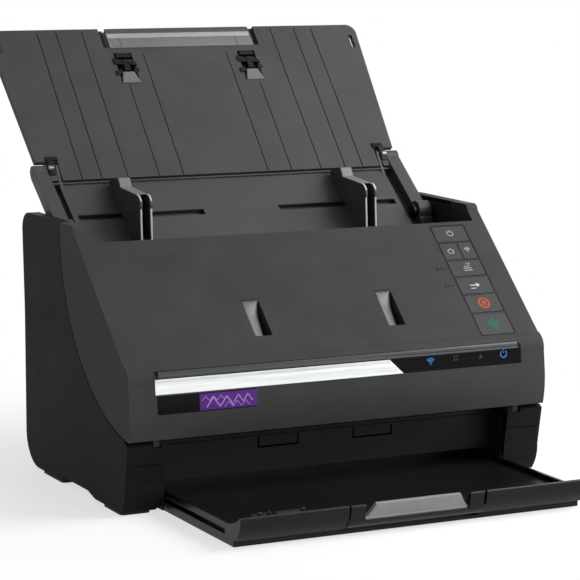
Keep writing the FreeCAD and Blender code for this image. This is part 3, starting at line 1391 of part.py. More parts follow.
def output_tray():
    """The pull-out tray: a shallow box with side grooves, a paper floor and a raised lip."""
    half = OUT_W / 2
    front, back = OUT_FRONT_Y, OUT_FRONT_Y + OUT_LENGTH
    body = box(-half, half, front, back, OUT_Z, OUT_TOP)
    body = body.cut(box(-half + 2.2, half - 2.2, front + 3.0, back + 1, OUT_FLOOR, OUT_TOP + 1))
    under = box(-half + 6.0, half - 6.0, front + 4.0, back - 2.5, OUT_Z - 1, OUT_FLOOR - 2.2)
    body = body.cut(under)
    lip_steps = [
        (front + 3.0, OUT_Z + 4.4),
        (front - 3.6, OUT_Z + 4.4),
        ("arc", (front - 7.4, 11.0), (front - LIP_LEAN, LIP_TOP - 1.0)),
        ("arc", (front - LIP_LEAN + 0.9, LIP_TOP + 0.4), (front - LIP_LEAN + 2.2, LIP_TOP - 0.6)),
        ("arc", (front - 2.0, 15.4), (front + 5.0, OUT_FLOOR)),
        (front + 5.0, OUT_FLOOR - 2.2),
    ]
    lip = prism(lip_steps, -half, half)
    ramp_steps = [
        (front, OUT_TOP - 1.0),
        (front - LIP_LEAN + 2.5, LIP_TOP - 1.0),
        ("arc", (front + 3.0, OUT_TOP + 1.0), (front + 18.0, OUT_TOP)),
        (front + 18.0, OUT_TOP - 2.0),
        (front, OUT_TOP - 2.0),
    ]
    ramp = prism(ramp_steps, half - 2.2, half)
    runners = [
        box(-EXT_W / 2 - 2.8, -EXT_W / 2 - 0.5, front + 6.0, back - 6.0, EXT_Z - 1.6, OUT_FLOOR - 2.2),
        box(-EXT_W / 2 - 2.8, -EXT_W / 2 + 2.2, front + 6.0, back - 6.0, EXT_Z - 1.6, EXT_Z - 0.4),
    ]
    body = fused([body, lip] + both(ramp) + both(runners[0]) + both(runners[1]))
    tools = both(
        box(half - RAIL_DEPTH - 0.6, half + 1, front + 12.0, back + 1, RAIL_Z - 0.4, RAIL_Z + RAIL_H + 0.4)
    )
    gap = EXT_W / 2 + 0.4
    tools.append(box(-gap, gap, front - 20, front + 5.5, EXT_Z - 0.5, LIP_TOP + 2))
    tools.append(box(-half + 26.0, -half + 58.0, front + 20.0, front + 30.0, OUT_FLOOR - 1.0, OUT_FLOOR + 1))
    return cut(body, tools)


def output_extension():
    """The inner leaf of the output tray and the middle block of the lip with its knuckles."""
    half = EXT_W / 2
    front = OUT_FRONT_Y
    leaf = box(-half, half, front + 2.0, front + 125.0, EXT_Z, EXT_Z + EXT_T)
    block_steps = [
        (front + 5.0, EXT_Z),
        (front - 3.6, OUT_Z + 4.4),
        ("arc", (front - 6.4, 8.0), (front - 7.4, 11.0)),
        (front - 2.0, 11.5),
        (front + 5.0, OUT_FLOOR),
    ]
    block = prism(block_steps, -half, half)
    knuckle_steps = [
        (front - 2.0, 9.0),
        (front - 7.0, 9.0),
        (front - LIP_LEAN + 0.2, LIP_TOP - 1.0),
        ("arc", (front - LIP_LEAN + 1.2, LIP_TOP + 0.2), (front - LIP_LEAN + 2.6, LIP_TOP - 1.0)),
    ]
    knuckle = prism(knuckle_steps, KNUCKLE_X0, KNUCKLE_X1)
    body = fused([leaf, block] + both(knuckle))
    room = rod(-KNUCKLE_X0, KNUCKLE_X0, STOP_HINGE_Y, STOP_HINGE_Z, 2.4)
    above = box(-KNUCKLE_X0, KNUCKLE_X0, front - 12, front - 1.4, STOP_HINGE_Z - 1.0, 24.0)
    bores = both(rod(KNUCKLE_X0 - 1, KNUCKLE_X0 + 4.0, STOP_HINGE_Y, STOP_HINGE_Z, 1.0 + RUN_CLEAR))
    return cut(body, [room, above] + bores)


def stopper_flap():
    """The grey flap in the middle of the lip that stops the sheets."""
    z0 = STOP_HINGE_Z
    face = Part.Face(
        Part.makePolygon(
            [
                V(-STOP_W_LOW / 2, 0, 0),
                V(STOP_W_LOW / 2, 0, 0),
                V(STOP_W_TOP / 2, 0, STOP_TOP - z0),
                V(-STOP_W_TOP / 2, 0, STOP_TOP - z0),
                V(-STOP_W_LOW / 2, 0, 0),
            ]
        )
    )
    flap = face.extrude(V(0, STOP_T, 0))
    flap.translate(V(0, -STOP_T / 2, 0))
    barrel = rod(-STOP_W_LOW / 2, STOP_W_LOW / 2, 0, 0, 1.9)
    pin = rod(-KNUCKLE_X0 - 3.0, KNUCKLE_X0 + 3.0, 0, 0, 1.0)
    return tilt(fused([flap, barrel, pin]), STOP_HINGE_Y, STOP_HINGE_Z, STOP_LEAN)


def chassis_screws():
    """The screws of the well shelves, heads resting on the shelf."""
    out = []
    for x, y in screw_places():
        shank = Part.makeCylinder(SCREW_R, 9.0, V(x, y, SHELF_TOP - 8.0))
        head = Part.makeCylinder(2.0 * SCREW_R, 1.8, V(x, y, SHELF_TOP))
        out.append(fused([shank, head]))
    return out


def control_parts():
    """Every button by its node name."""
    return {"button_" + name: button(cell) for name, cell in button_cells().items()}


def front_inlays():
    """The indicator window, the bright strip and the badge plate."""
    band = inlay(window_band(), INLAY_DEPTH)
    silver = band.common(silver_region())
    badge = inlay(box(BADGE_X0 + 0.1, BADGE_X1 - 0.1, -20, 0, BADGE_LOW + 0.1, BADGE_TOP - 0.1))
    return {"indicator_window": band.cut(silver_region()), "trim_strip": silver, "badge_plate": badge}


def build():
    """Every sub-part by its node name, in the drawing's own place."""
    motor, motor_shaft = drive_motor()
    gears = drive_gears()
    right_side = side_cover()
    right_guide, left_guide = edge_guides()
    nodes = {
        "base_frame": base_frame(),
        "bottom_cover": bottom_cover(),
        "right_side_cover": right_side,
        "left_side_cover": mirror(right_side),
        "rear_cover": rear_cover(),
        "rubber_feet": rubber_feet(),
        "lower_paper_guide": lower_paper_guide(),
        "feeder_well": feeder_well(),
        "lower_scan_glass": scan_glass(-GLASS_T),
        "lower_sensor_unit": lower_sensor_unit(),
        "main_board": main_board(),
        "power_inlet": power_inlet(),
        "usb_port": usb_port(),
        "drive_motor": motor,
        "motor_pinion": fused([gears["motor_pinion"], motor_shaft]),
        "idler_gear": gears["idler_gear"],
        "feed_shaft": roller_shaft(1, GEAR_X + GEAR_WIDTH),
        "feed_rollers": roller_set(1, roller_spans(), DRIVE_R),
        "feed_gear": gears["feed_gear"],
        "exit_shaft": roller_shaft(2, GEAR_X + GEAR_WIDTH),
        "exit_rollers": roller_set(2, roller_spans(), DRIVE_R),
        "exit_gear": gears["exit_gear"],
        "pickup_shaft": roller_shaft(0, OPEN_HALF + PLATE_T + 1.5),
        "pickup_roller": roller_set(0, [(-PICKUP_W / 2 + 1, PICKUP_W / 2 - 1)], PICKUP_R),
        "shaft_bushes": shaft_bushes(),
        "chassis_screws": chassis_screws(),
        "cover_hinge_pins": cover_hinge_pins(),
        "tray_hinge_pins": tray_hinge_pins(),
        "cover_shell": cover_shell(),
        "cover_inner_guide": cover_inner_guide(),
        "upper_scan_glass": scan_glass(PATH_GAP),
        "upper_sensor_unit": upper_sensor_unit(),
        "separation_roller": separation_roller(),
        "feed_pinch_rollers": pinch_rollers(1),
        "exit_pinch_rollers": pinch_rollers(2),
        "control_board": control_board(),
        "control_strip": control_strip(),
        "release_lever": release_lever(),
        "tray_base": tray_base(),
        "tray_panel": tray_panel(),
        "tray_extension": tray_extension(),
        "extension_handle": extension_handle(),
        "panel_pins": panel_pins(),
        "edge_guide_right": right_guide,
        "edge_guide_left": left_guide,
        "guide_pinion": guide_pinion(),
        "output_tray": output_tray(),
        "output_extension": output_extension(),
        "stopper_flap": stopper_flap(),
    }
    nodes.update(control_parts())
    nodes.update(front_inlays())
    return nodes


def centred(nodes):
    """The nodes moved so that the middle of the whole footprint is the origin."""
    shapes = {}
    for name, made in nodes.items():
        pieces = made if isinstance(made, list) else [made]
        shapes[name] = Part.makeCompound(pieces) if len(pieces) > 1 else pieces[0]
    whole = Part.makeCompound(list(shapes.values())).optimalBoundingBox(False)
    shift = -(whole.YMin + whole.YMax) / 2
    for shape in shapes.values():
        shape.translate(V(0, shift, 0))
    return shapes, shift


os.makedirs("parts", exist_ok=True)
NODES, Y_SHIFT = centred(build())
for node, solid in NODES.items():
    solid.exportStep("parts/" + node + ".step")
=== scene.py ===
import math

import bmesh
import bpy
from mathutils import Matrix, Vector
from mathutils.bvhtree import BVHTree


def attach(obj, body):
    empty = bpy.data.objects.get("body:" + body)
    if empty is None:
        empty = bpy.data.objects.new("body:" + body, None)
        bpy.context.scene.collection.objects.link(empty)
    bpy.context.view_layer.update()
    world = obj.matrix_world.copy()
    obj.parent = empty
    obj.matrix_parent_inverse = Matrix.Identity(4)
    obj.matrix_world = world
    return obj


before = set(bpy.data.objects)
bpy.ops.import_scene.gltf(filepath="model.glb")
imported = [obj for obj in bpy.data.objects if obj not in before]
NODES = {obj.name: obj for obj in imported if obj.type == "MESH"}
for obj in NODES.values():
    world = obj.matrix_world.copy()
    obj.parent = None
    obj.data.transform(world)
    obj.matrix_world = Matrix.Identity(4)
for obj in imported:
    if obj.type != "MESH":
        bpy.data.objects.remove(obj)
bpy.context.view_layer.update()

# The CAD drawing's own depth origin in the row frame, in millimetres.
Y_SHIFT = -75.636
MM = 0.001

# Slope panel, front keys and trays as the CAD has them, in millimetres and degrees.
PANEL_Y, PANEL_Z, PANEL_ANGLE = 73.1, 159.8, 42.3
CHUTE_Y, CHUTE_Z, CHUTE_ANGLE = 131.0, 160.5, 38.0
TRAY_PIN_S, TRAY_ANGLE, TRAY_DROP = 57.0, 48.6, 2.5
STRIP_X = (105.0, 131.0)
STRIP_ROWS = (3.2, 17.9, 33.3, 47.6, 62.8, 78.7, 97.5)
STRIP_SPLIT = 119.2
HANDLE_S = (98.0, 115.5)
HANDLE_HALF = 55.4
GUIDE_X = (79.0, 87.6)
OUT_FRONT = -94.0

# Camera fitted to the photo.
CAM_TARGET = (0.4, 80.0, 112.03)
CAM_DISTANCE = 1633.5
CAM_AZIMUTH, CAM_ELEVATION, CAM_ROLL = -0.468298, 0.158101, 0.006378
CAM_LENS = 154.19
CAM_SHIFT = (0.01131, 0.02112)


def at(x, y, z):
    """A point of the CAD drawing in the row frame, in metres."""
    return Vector((x * MM, (y + Y_SHIFT) * MM, z * MM))


def slanted(y, z, angle, s, w):
    """A point at s along and w off a plane that leans back by an angle."""
    a = math.radians(angle)
    return y + s * math.cos(a) - w * math.sin(a), z + s * math.sin(a) + w * math.cos(a)


def on_panel(x, s, w):
    return at(x, *slanted(PANEL_Y, PANEL_Z, PANEL_ANGLE, -s, w))


def on_chute(x, s, w):
    return at(x, *slanted(CHUTE_Y, CHUTE_Z, CHUTE_ANGLE, s, w))


def on_tray(x, s, w):
    y, z = slanted(CHUTE_Y, CHUTE_Z, CHUTE_ANGLE, TRAY_PIN_S, 0.0)
    return at(x, *slanted(y, z, TRAY_ANGLE, s, w + TRAY_DROP))


def surface_of(*names):
    """Search trees over CAD nodes, for laying marks on their faces."""
    return [BVHTree.FromObject(NODES[n], bpy.context.evaluated_depsgraph_get()) for n in names]


def front_of(trees):
    """A map that lays (x, z) on whatever faces the front there, w proud of it."""
    def mapped(x, z, w):
        best = None
        for tree in trees:
            hit = tree.ray_cast(Vector((x * MM, -0.3, z * MM)), Vector((0, 1, 0)))
            if hit[0] is not None and (best is None or hit[0].y < best.y):
                best = hit[0]
        return best + Vector((0, -w * MM, 0))
    return mapped


# Materials

class Nodes:
    """A short way to write a node material."""

    def __init__(self, name):
        self.mat = bpy.data.materials.new(name)
        self.mat.use_nodes = True
        self.tree = self.mat.node_tree
        self.tree.nodes.clear()
        self.out = self.tree.nodes.new("ShaderNodeOutputMaterial")
        self.shader = self.tree.nodes.new("ShaderNodeBsdfPrincipled")
        self.link(self.shader.outputs[0], self.out.inputs[0])

    def link(self, a, b):
        self.tree.links.new(a, b)

    def add(self, kind, **values):
        node = self.tree.nodes.new("ShaderNode" + kind)
        for key, value in values.items():
            if hasattr(node, key):
                setattr(node, key, value)
            else:
                node.inputs[key.replace("_", " ")].default_value = value
        return node

    def set(self, **values):
        for key, value in values.items():
            self.shader.inputs[key.replace("_", " ")].default_value = value

    def noise(self, scale, detail=3.0, rough=0.55, stretch=None):
        """An object-space noise, in features per metre."""
        coord = self.add("TexCoord")
        source = coord.outputs["Object"]
        if stretch:
            mapping = self.add("Mapping")
            mapping.inputs["Scale"].default_value = stretch
            self.link(source, mapping.inputs["Vector"])
            source = mapping.outputs[0]
        node = self.add("TexNoise", Scale=scale, Detail=detail, Roughness=rough)
        self.link(source, node.inputs["Vector"])
        return node.outputs["Fac"]

    def ramp(self, value, stops):
        node = self.add("ValToRGB")
        ramp = node.color_ramp
        while len(ramp.elements) < len(stops):
            ramp.elements.new(0.5)
        for element, (position, colour) in zip(ramp.elements, stops):
            element.position = position
            element.color = (*colour, 1.0)
        self.link(value, node.inputs[0])
        return node.outputs[0]

    def spread(self, value, low, high):
        node = self.add("MapRange")
        node.inputs["To Min"].default_value = low
        node.inputs["To Max"].default_value = high
        node.inputs["From Min"].default_value = 0.25
        node.inputs["From Max"].default_value = 0.75
        self.link(value, node.inputs[0])
        return node.outputs[0]

    def bump(self, value, strength, distance, edge=0.0):
        node = self.add("Bump")
        node.inputs["Strength"].default_value = strength
        node.inputs["Distance"].default_value = distance
        self.link(value, node.inputs["Height"])
        if edge:
            bevel = self.add("Bevel")
            bevel.samples = 4
            bevel.inputs["Radius"].default_value = edge
            self.link(bevel.outputs[0], node.inputs["Normal"])
        self.link(node.outputs[0], self.shader.inputs["Normal"])


def shade(colour, factor):
    return tuple(min(1.0, c * factor) for c in colour)


def plastic(name, colour, rough=0.5, grain=0.25, scale=2600.0, edge=0.0005, vary=0.1, specular=0.2):
    """Moulded plastic with a spark-eroded grain, slight tone changes and rubbed edges."""
    m = Nodes(name)
    m.set(Specular_IOR_Level=specular)
    broad = m.noise(34.0, 4.0, 0.6)
    fine = m.noise(scale, 2.0, 0.6)
    mixed = m.add("Mix", data_type="RGBA", blend_type="MULTIPLY")
    mixed.inputs["Factor"].default_value = 0.35
    m.link(m.ramp(broad, [(0.3, shade(colour, 1 - vary)), (0.7, shade(colour, 1 + vary))]), mixed.inputs["A"])
    m.link(m.ramp(fine, [(0.35, (0.72, 0.72, 0.72)), (0.65, (1.0, 1.0, 1.0))]), mixed.inputs["B"])
    m.link(mixed.outputs["Result"], m.shader.inputs["Base Color"])
    m.link(m.spread(broad, rough - 0.05, rough + 0.06), m.shader.inputs["Roughness"])
    m.bump(fine, grain, 0.00006, edge)
    return m.mat


def gloss(name, colour, rough=0.12, specular=0.2, edge=0.0002):
    """Polished or coated plastic with faint dust and orange peel."""
    m = Nodes(name)
    m.set(Specular_IOR_Level=specular)
    dust = m.noise(900.0, 5.0, 0.7)
    peel = m.noise(260.0, 2.0)
    m.link(m.ramp(dust, [(0.5, colour), (0.78, shade(colour, 1.5))]), m.shader.inputs["Base Color"])
    m.link(m.spread(dust, rough, rough + 0.09), m.shader.inputs["Roughness"])
    m.bump(peel, 0.03, 0.00004, edge)
    return m.mat


def metal(name, colour, rough=0.3, along="X", scale=700.0, metallic=1.0, edge=0.0002):
    """Brushed or turned metal, its fine lines running along one axis."""
    m = Nodes(name)
    m.set(Metallic=metallic)
    stretch = {"X": (0.04, 1, 1), "Y": (1, 0.04, 1), "Z": (1, 1, 0.04)}[along]
    lines = m.noise(scale, 5.0, 0.7, stretch)
    m.link(m.ramp(lines, [(0.3, shade(colour, 0.82)), (0.7, shade(colour, 1.12))]), m.shader.inputs["Base Color"])
    m.link(m.spread(lines, rough - 0.07, rough + 0.1), m.shader.inputs["Roughness"])
    m.bump(lines, 0.12, 0.00003, edge)
    return m.mat


def rubber(name, colour):
    """Matt rubber with a ground surface and light dust in it."""
    m = Nodes(name)
    fine = m.noise(1500.0, 6.0, 0.7)
    dust = m.noise(120.0, 4.0, 0.6)
    m.link(m.ramp(dust, [(0.4, colour), (0.8, shade(colour, 1.6))]), m.shader.inputs["Base Color"])
    m.link(m.spread(fine, 0.75, 0.92), m.shader.inputs["Roughness"])
    m.bump(fine, 0.35, 0.0001, 0.0003)
    return m.mat


def glass(name):
    m = Nodes(name)
    m.set(Transmission_Weight=0.85, IOR=1.5, Alpha=0.6)
    dust = m.noise(700.0, 4.0)
    m.link(m.ramp(dust, [(0.4, (0.5, 0.56, 0.54)), (0.8, (0.62, 0.68, 0.66))]), m.shader.inputs["Base Color"])
    m.link(m.spread(dust, 0.02, 0.08), m.shader.inputs["Roughness"])
    m.bump(dust, 0.02, 0.00002)
    return m.mat


def board(name):
    """Green lacquer over copper traces."""
    m = Nodes(name)
    brick = m.add("TexBrick", Scale=180.0)
    brick.inputs["Color1"].default_value = (0.012, 0.09, 0.035, 1)
    brick.inputs["Color2"].default_value = (0.016, 0.12, 0.045, 1)
    brick.inputs["Mortar"].default_value = (0.03, 0.2, 0.075, 1)
    brick.inputs["Mortar Size"].default_value = 0.03
    coord = m.add("TexCoord")
    turn = m.add("Mapping")
    turn.inputs["Rotation"].default_value = (math.pi / 2, 0, 0)
    m.link(coord.outputs["Object"], turn.inputs["Vector"])
    m.link(turn.outputs[0], brick.inputs["Vector"])
    m.link(brick.outputs["Color"], m.shader.inputs["Base Color"])
    m.link(m.spread(m.noise(400.0), 0.2, 0.35), m.shader.inputs["Roughness"])
    m.bump(brick.outputs["Fac"], 0.2, 0.0001)
    return m.mat


def printed(name, colour, glow=0.0):
    """Screen print or a lit legend: a thin ink with a little unevenness."""
    m = Nodes(name)
    m.set(Specular_IOR_Level=0.12)
    patch = m.noise(1800.0, 3.0)
    m.link(m.ramp(patch, [(0.3, shade(colour, 0.85)), (0.7, shade(colour, 1.08))]), m.shader.inputs["Base Color"])
    m.link(m.spread(patch, 0.35, 0.5), m.shader.inputs["Roughness"])
    if glow:
        m.set(Emission_Color=(*colour, 1.0), Emission_Strength=glow)
    return m.mat


SIDE = plastic("side_shell", (0.0135, 0.0135, 0.0138), 0.4, 0.2, specular=0.015)
COVER = plastic("front_shell", (0.05, 0.0507, 0.0513), 0.44, 0.3, specular=0.02)
REAR = plastic("rear_shell", (0.022, 0.0225, 0.023), 0.5, 0.3)
TRAY = plastic("tray_plastic", (0.052, 0.053, 0.0537), 0.48, 0.25, specular=0.1)
CHUTE = plastic("chute_plastic", (0.046, 0.0467, 0.0472), 0.5, 0.25)
OUTPUT = plastic("output_plastic", (0.004, 0.004, 0.0042), 0.3, 0.2, edge=0.0007, specular=0.2)
INNER = plastic("inner_plastic", (0.006, 0.006, 0.0062), 0.5, 0.2)
GUIDE = plastic("guide_plastic", (0.06, 0.061, 0.062), 0.42, 0.2)
# Pale plastic for the guides' fin edges: painted highlight
GUIDE_EDGE_HIGHLIGHT = plastic("guide_edge_painted_highlight", (0.5, 0.51, 0.51), 0.35, 0.1)
HANDLE = plastic("handle_plastic", (0.14, 0.144, 0.144), 0.4, 0.15)
# Paler copy of the handle plastic for the grip's stripe: painted highlight
HANDLE_STRIPE_LIT = plastic("handle_stripe_painted_highlight", (0.3, 0.307, 0.302), 0.34, 0.1)
HANDLE_DARK = plastic("handle_top_plastic", (0.055, 0.056, 0.057), 0.4, 0.15)
STOPPER = plastic("stopper_plastic", (0.23, 0.235, 0.235), 0.42, 0.15)
CHASSIS = plastic("chassis_plastic", (0.007, 0.007, 0.0075), 0.55, 0.3)
# Paler than the output tray's plastic, for the catches and sills: painted highlight
CATCH_HIGHLIGHT = plastic("catch_painted_highlight", (0.022, 0.022, 0.0225), 0.4, 0.15)
LEVER = plastic("lever_plastic", (0.02, 0.02, 0.021), 0.4, 0.2)
KEY = plastic("key_plastic", (0.05, 0.051, 0.052), 0.4, 0.15, 3200.0, 0.0004, specular=0.06)
# Paler plastic for the scoops' dishes: painted light
SCOOP_LIT = plastic("scoop_painted_light", (0.1, 0.102, 0.103), 0.4, 0.15)
# Paler copy of the guide plastic for the guides' tops: painted light
GUIDE_TOP_LIT = plastic("guide_top_painted_light", (0.17, 0.174, 0.175), 0.4, 0.15)
# Paler gloss for the window's upper half: painted reflection
SHEEN = gloss("window_sheen", (0.05, 0.052, 0.053), 0.12, 0.2)
# Black plastic of the pin brackets, also used as painted shade on the scoop floors and on the hook windows' claws
BLACK_PLASTIC_AND_SHADE = plastic("black_plastic_and_painted_shade", (0.003, 0.003, 0.003), 0.45, 0.15, specular=0.12)
# Paler copy of the tray plastic for the hook ramps: painted light
RAMP_LIT = plastic("ramp_painted_light", (0.13, 0.133, 0.133), 0.4, 0.1)
FRAME = plastic("strip_frame_plastic", (0.006, 0.006, 0.0065), 0.35, 0.15)
GEAR = plastic("gear_plastic", (0.62, 0.6, 0.54), 0.4, 0.1, 1200.0, 0.0001)
SOCKET = plastic("socket_plastic", (0.008, 0.008, 0.008), 0.4, 0.2)
SENSOR = plastic("sensor_plastic", (0.01, 0.01, 0.011), 0.6, 0.3)
WINDOW = gloss("window_gloss", (0.002, 0.002, 0.0024), 0.1, 0.1)
BADGE = gloss("badge_gloss", (0.0015, 0.0015, 0.0018), 0.2, 0.08)
SILVER = metal("silver_trim", (0.72, 0.74, 0.74), 0.36, "X", 500.0, 0.35)
STEEL = metal("turned_steel", (0.6, 0.6, 0.6), 0.28, "X")
PIN_END = metal("worn_pin_steel", (0.2, 0.2, 0.2), 0.45, "X")
BLACKENED = metal("blackened_steel", (0.03, 0.03, 0.031), 0.4, "X")
BRASS = metal("bush_brass", (0.5, 0.36, 0.14), 0.35, "X")
CAN = metal("motor_can", (0.3, 0.3, 0.31), 0.35, "X")
FOOT = rubber("foot_rubber", (0.014, 0.014, 0.014))
ROLLER = rubber("roller_rubber", (0.05, 0.052, 0.056))
GLASS = glass("scan_glass")
BOARD = board("board_lacquer")
INK_GREY = printed("ink_grey", (0.33, 0.335, 0.335))
INK_PALE = printed("ink_pale", (0.46, 0.47, 0.47))
INK_DARK = printed("ink_dark", (0.004, 0.004, 0.0045))
INK_FAINT = printed("ink_faint", (0.03, 0.038, 0.05))
LIT_ORANGE = printed("lit_orange", (0.4, 0.045, 0.012), 0.12)
LIT_TEAL = printed("lit_teal", (0.002, 0.085, 0.065), 0.12)
LIT_BLUE = printed("lit_blue", (0.03, 0.17, 0.42), 0.25)
ART_VIOLET = printed("art_violet", (0.09, 0.02, 0.2))
ART_LILAC = printed("art_lilac", (0.42, 0.26, 0.6))

FINISH = {
    SIDE: ["left_side_cover", "right_side_cover"],
    COVER: ["cover_shell"],
    REAR: ["rear_cover"],
    TRAY: ["tray_panel", "tray_extension"],
    CHUTE: ["tray_base"],
    OUTPUT: ["output_tray", "output_extension"],
    INNER: ["bottom_cover", "lower_paper_guide", "feeder_well", "cover_inner_guide"],
    LEVER: ["release_lever"],
    GUIDE: ["edge_guide_right", "edge_guide_left"],
    HANDLE: ["extension_handle"],
    STOPPER: ["stopper_flap"],
    CHASSIS: ["base_frame"],
    FRAME: ["control_strip"],
    KEY: ["button_" + n for n in ("power", "quick_send", "wireless", "feed_check", "feeder_mode", "stop", "start")],
    GEAR: ["motor_pinion", "idler_gear", "feed_gear", "exit_gear", "guide_pinion"],
    SOCKET: ["power_inlet", "usb_port"],
    SENSOR: ["lower_sensor_unit", "upper_sensor_unit"],
    WINDOW: ["indicator_window"],
    BADGE: ["badge_plate"],
    SILVER: ["trim_strip"],
    STEEL: ["feed_shaft", "exit_shaft", "pickup_shaft", "chassis_screws"],
    BLACKENED: ["cover_hinge_pins", "tray_hinge_pins", "panel_pins"],
    BRASS: ["shaft_bushes"],
    CAN: ["drive_motor"],
    FOOT: ["rubber_feet"],
    ROLLER: ["feed_rollers", "exit_rollers", "pickup_roller", "separation_roller", "feed_pinch_rollers", "exit_pinch_rollers"],
    GLASS: ["lower_scan_glass", "upper_scan_glass"],
    BOARD: ["main_board", "control_board"],
}
for material, names in FINISH.items():
    for node_name in names:
        mesh = NODES[node_name].data
        mesh.materials.clear()
        mesh.materials.append(material)


# Pieces

def piece(name, bm, material, body, smooth=False):
    """An object of the scene made from a bmesh, riding on a body."""
    bmesh.ops.recalc_face_normals(bm, faces=bm.faces)
    mesh = bpy.data.meshes.new(name)
    bm.to_mesh(mesh)
    bm.free()
    obj = bpy.data.objects.new(name, mesh)
    bpy.context.scene.collection.objects.link(obj)
    mesh.materials.append(material)
    for face in mesh.polygons:
        face.use_smooth = smooth
    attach(obj, body)
    return obj


def raised(name, loops, mapped, low, high, material, body, taper=0.06):
    """Flat shapes laid on a surface: each loop is a list of points of the surface's own map."""
    bm = bmesh.new()
    for loop in loops:
        cx = sum(p[0] for p in loop) / len(loop)
        cy = sum(p[1] for p in loop) / len(loop)
        top = []
        for x, y in loop:
            d = math.hypot(x - cx, y - cy) or 1.0
            k = 1 - taper / d if d > taper else 1.0
            top.append((cx + (x - cx) * k, cy + (y - cy) * k))
        lower = [bm.verts.new(mapped(x, y, low)) for x, y in loop]
        upper = [bm.verts.new(mapped(x, y, high)) for x, y in top]
        bm.faces.new(upper)
        bm.faces.new(lower[::-1])
        for i in range(len(loop)):
            j = (i + 1) % len(loop)
            bm.faces.new([lower[i], lower[j], upper[j], upper[i]])
    return piece(name, bm, material, body)


def ribbon(name, path, spans, mapped, proud, material, body):
    """A thin strip over each span of x, lying along a path of (s, w) points and proud of it."""
    bm = bmesh.new()
    for x0, x1 in spans:
        rows = []
        for i, (s, w) in enumerate(path):
            s0, w0 = path[max(i - 1, 0)]
            s1, w1 = path[min(i + 1, len(path) - 1)]
            d = math.hypot(s1 - s0, w1 - w0)
            ns, nw = -(w1 - w0) / d, (s1 - s0) / d
            rows.append([
                bm.verts.new(mapped(x, s + ns * k, w + nw * k))
                for x, k in ((x0, -0.02), (x0, proud), (x1, proud), (x1, -0.02))
            ])
        for a, b in zip(rows, rows[1:]):
            for i in range(4):
                j = (i + 1) % 4
                bm.faces.new([a[i], a[j], b[j], b[i]])
        bm.faces.new(rows[0])
        bm.faces.new(rows[-1][::-1])
    return piece(name, bm, material, body)


def bar(name, profile, x0, x1, mapped, material, body):
    """A moulded bar along x with rounded-in ends, from a closed profile of (s, w) points."""
    cs = sum(q[0] for q in profile) / len(profile)
    cw = sum(q[1] for q in profile) / len(profile)
    bm = bmesh.new()
    rows = []
    for x, k in ((x0, 0.9), (x0 + 0.35, 1.0), (x1 - 0.35, 1.0), (x1, 0.9)):
        rows.append([bm.verts.new(mapped(x, cs + (s - cs) * k, cw + (w - cw) * k)) for s, w in profile])
    n = len(profile)
    for a, b in zip(rows, rows[1:]):
        for i in range(n):
            j = (i + 1) % n
            bm.faces.new([a[i], a[j], b[j], b[i]])
    bm.faces.new(rows[0])
    bm.faces.new(rows[-1][::-1])
    return piece(name, bm, material, body)


def crown(s0, s1, low, high, steps=8):
    """A profile with a flat base and a crowned top."""
    out = [(s0, low)]
    for i in range(steps + 1):
        t = i / steps
        out.append((s0 + (s1 - s0) * t, low + (high - low) * math.sin(math.pi * (0.12 + 0.76 * t)) ** 0.6))
    return out + [(s1, low)]


def ring(cx, cy, r0, r1, start=0.0, end=360.0, steps=20):
    """Quads that make up a ring or a part of one."""
    out = []
    for i in range(steps):
        a, b = (math.radians(start + (end - start) * k / steps) for k in (i, i + 1))
        out.append([
            (cx + r0 * math.cos(a), cy + r0 * math.sin(a)),
            (cx + r1 * math.cos(a), cy + r1 * math.sin(a)),
            (cx + r1 * math.cos(b), cy + r1 * math.sin(b)),
            (cx + r0 * math.cos(b), cy + r0 * math.sin(b)),
        ])
    return out


def rect(x0, y0, x1, y1):
    return [(x0, y0), (x1, y0), (x1, y1), (x0, y1)]


def line(x0, y0, x1, y1, width):
    """A straight stroke."""
    d = math.hypot(x1 - x0, y1 - y0)
    nx, ny = -(y1 - y0) / d * width / 2, (x1 - x0) / d * width / 2
    return [(x0 + nx, y0 + ny), (x1 + nx, y1 + ny), (x1 - nx, y1 - ny), (x0 - nx, y0 - ny)]


def power_mark(x, y, r, up=1.0):
    """A ring open at the top with a bar in the gap; up is -1 where the map's second axis runs down."""
    gap = 35.0
    mid = 90.0 * up
    return ring(x, y, r * 0.74, r, mid + gap, mid + 360 - gap) + [rect(x - r * 0.14, y + up * r * 0.25, x + r * 0.14, y + up * r * 1.15)]


def waves_mark(x, y, r, up=1.0):
    """Three arcs over a dot."""
    mid = 90.0 * up
    out = []
    for k in (0.4, 0.72, 1.04):
        out += ring(x, y, r * k - r * 0.09, r * k + r * 0.09, mid - 45, mid + 45, 10)
    return out + ring(x, y, 0.01, r * 0.15, 0, 360, 10)


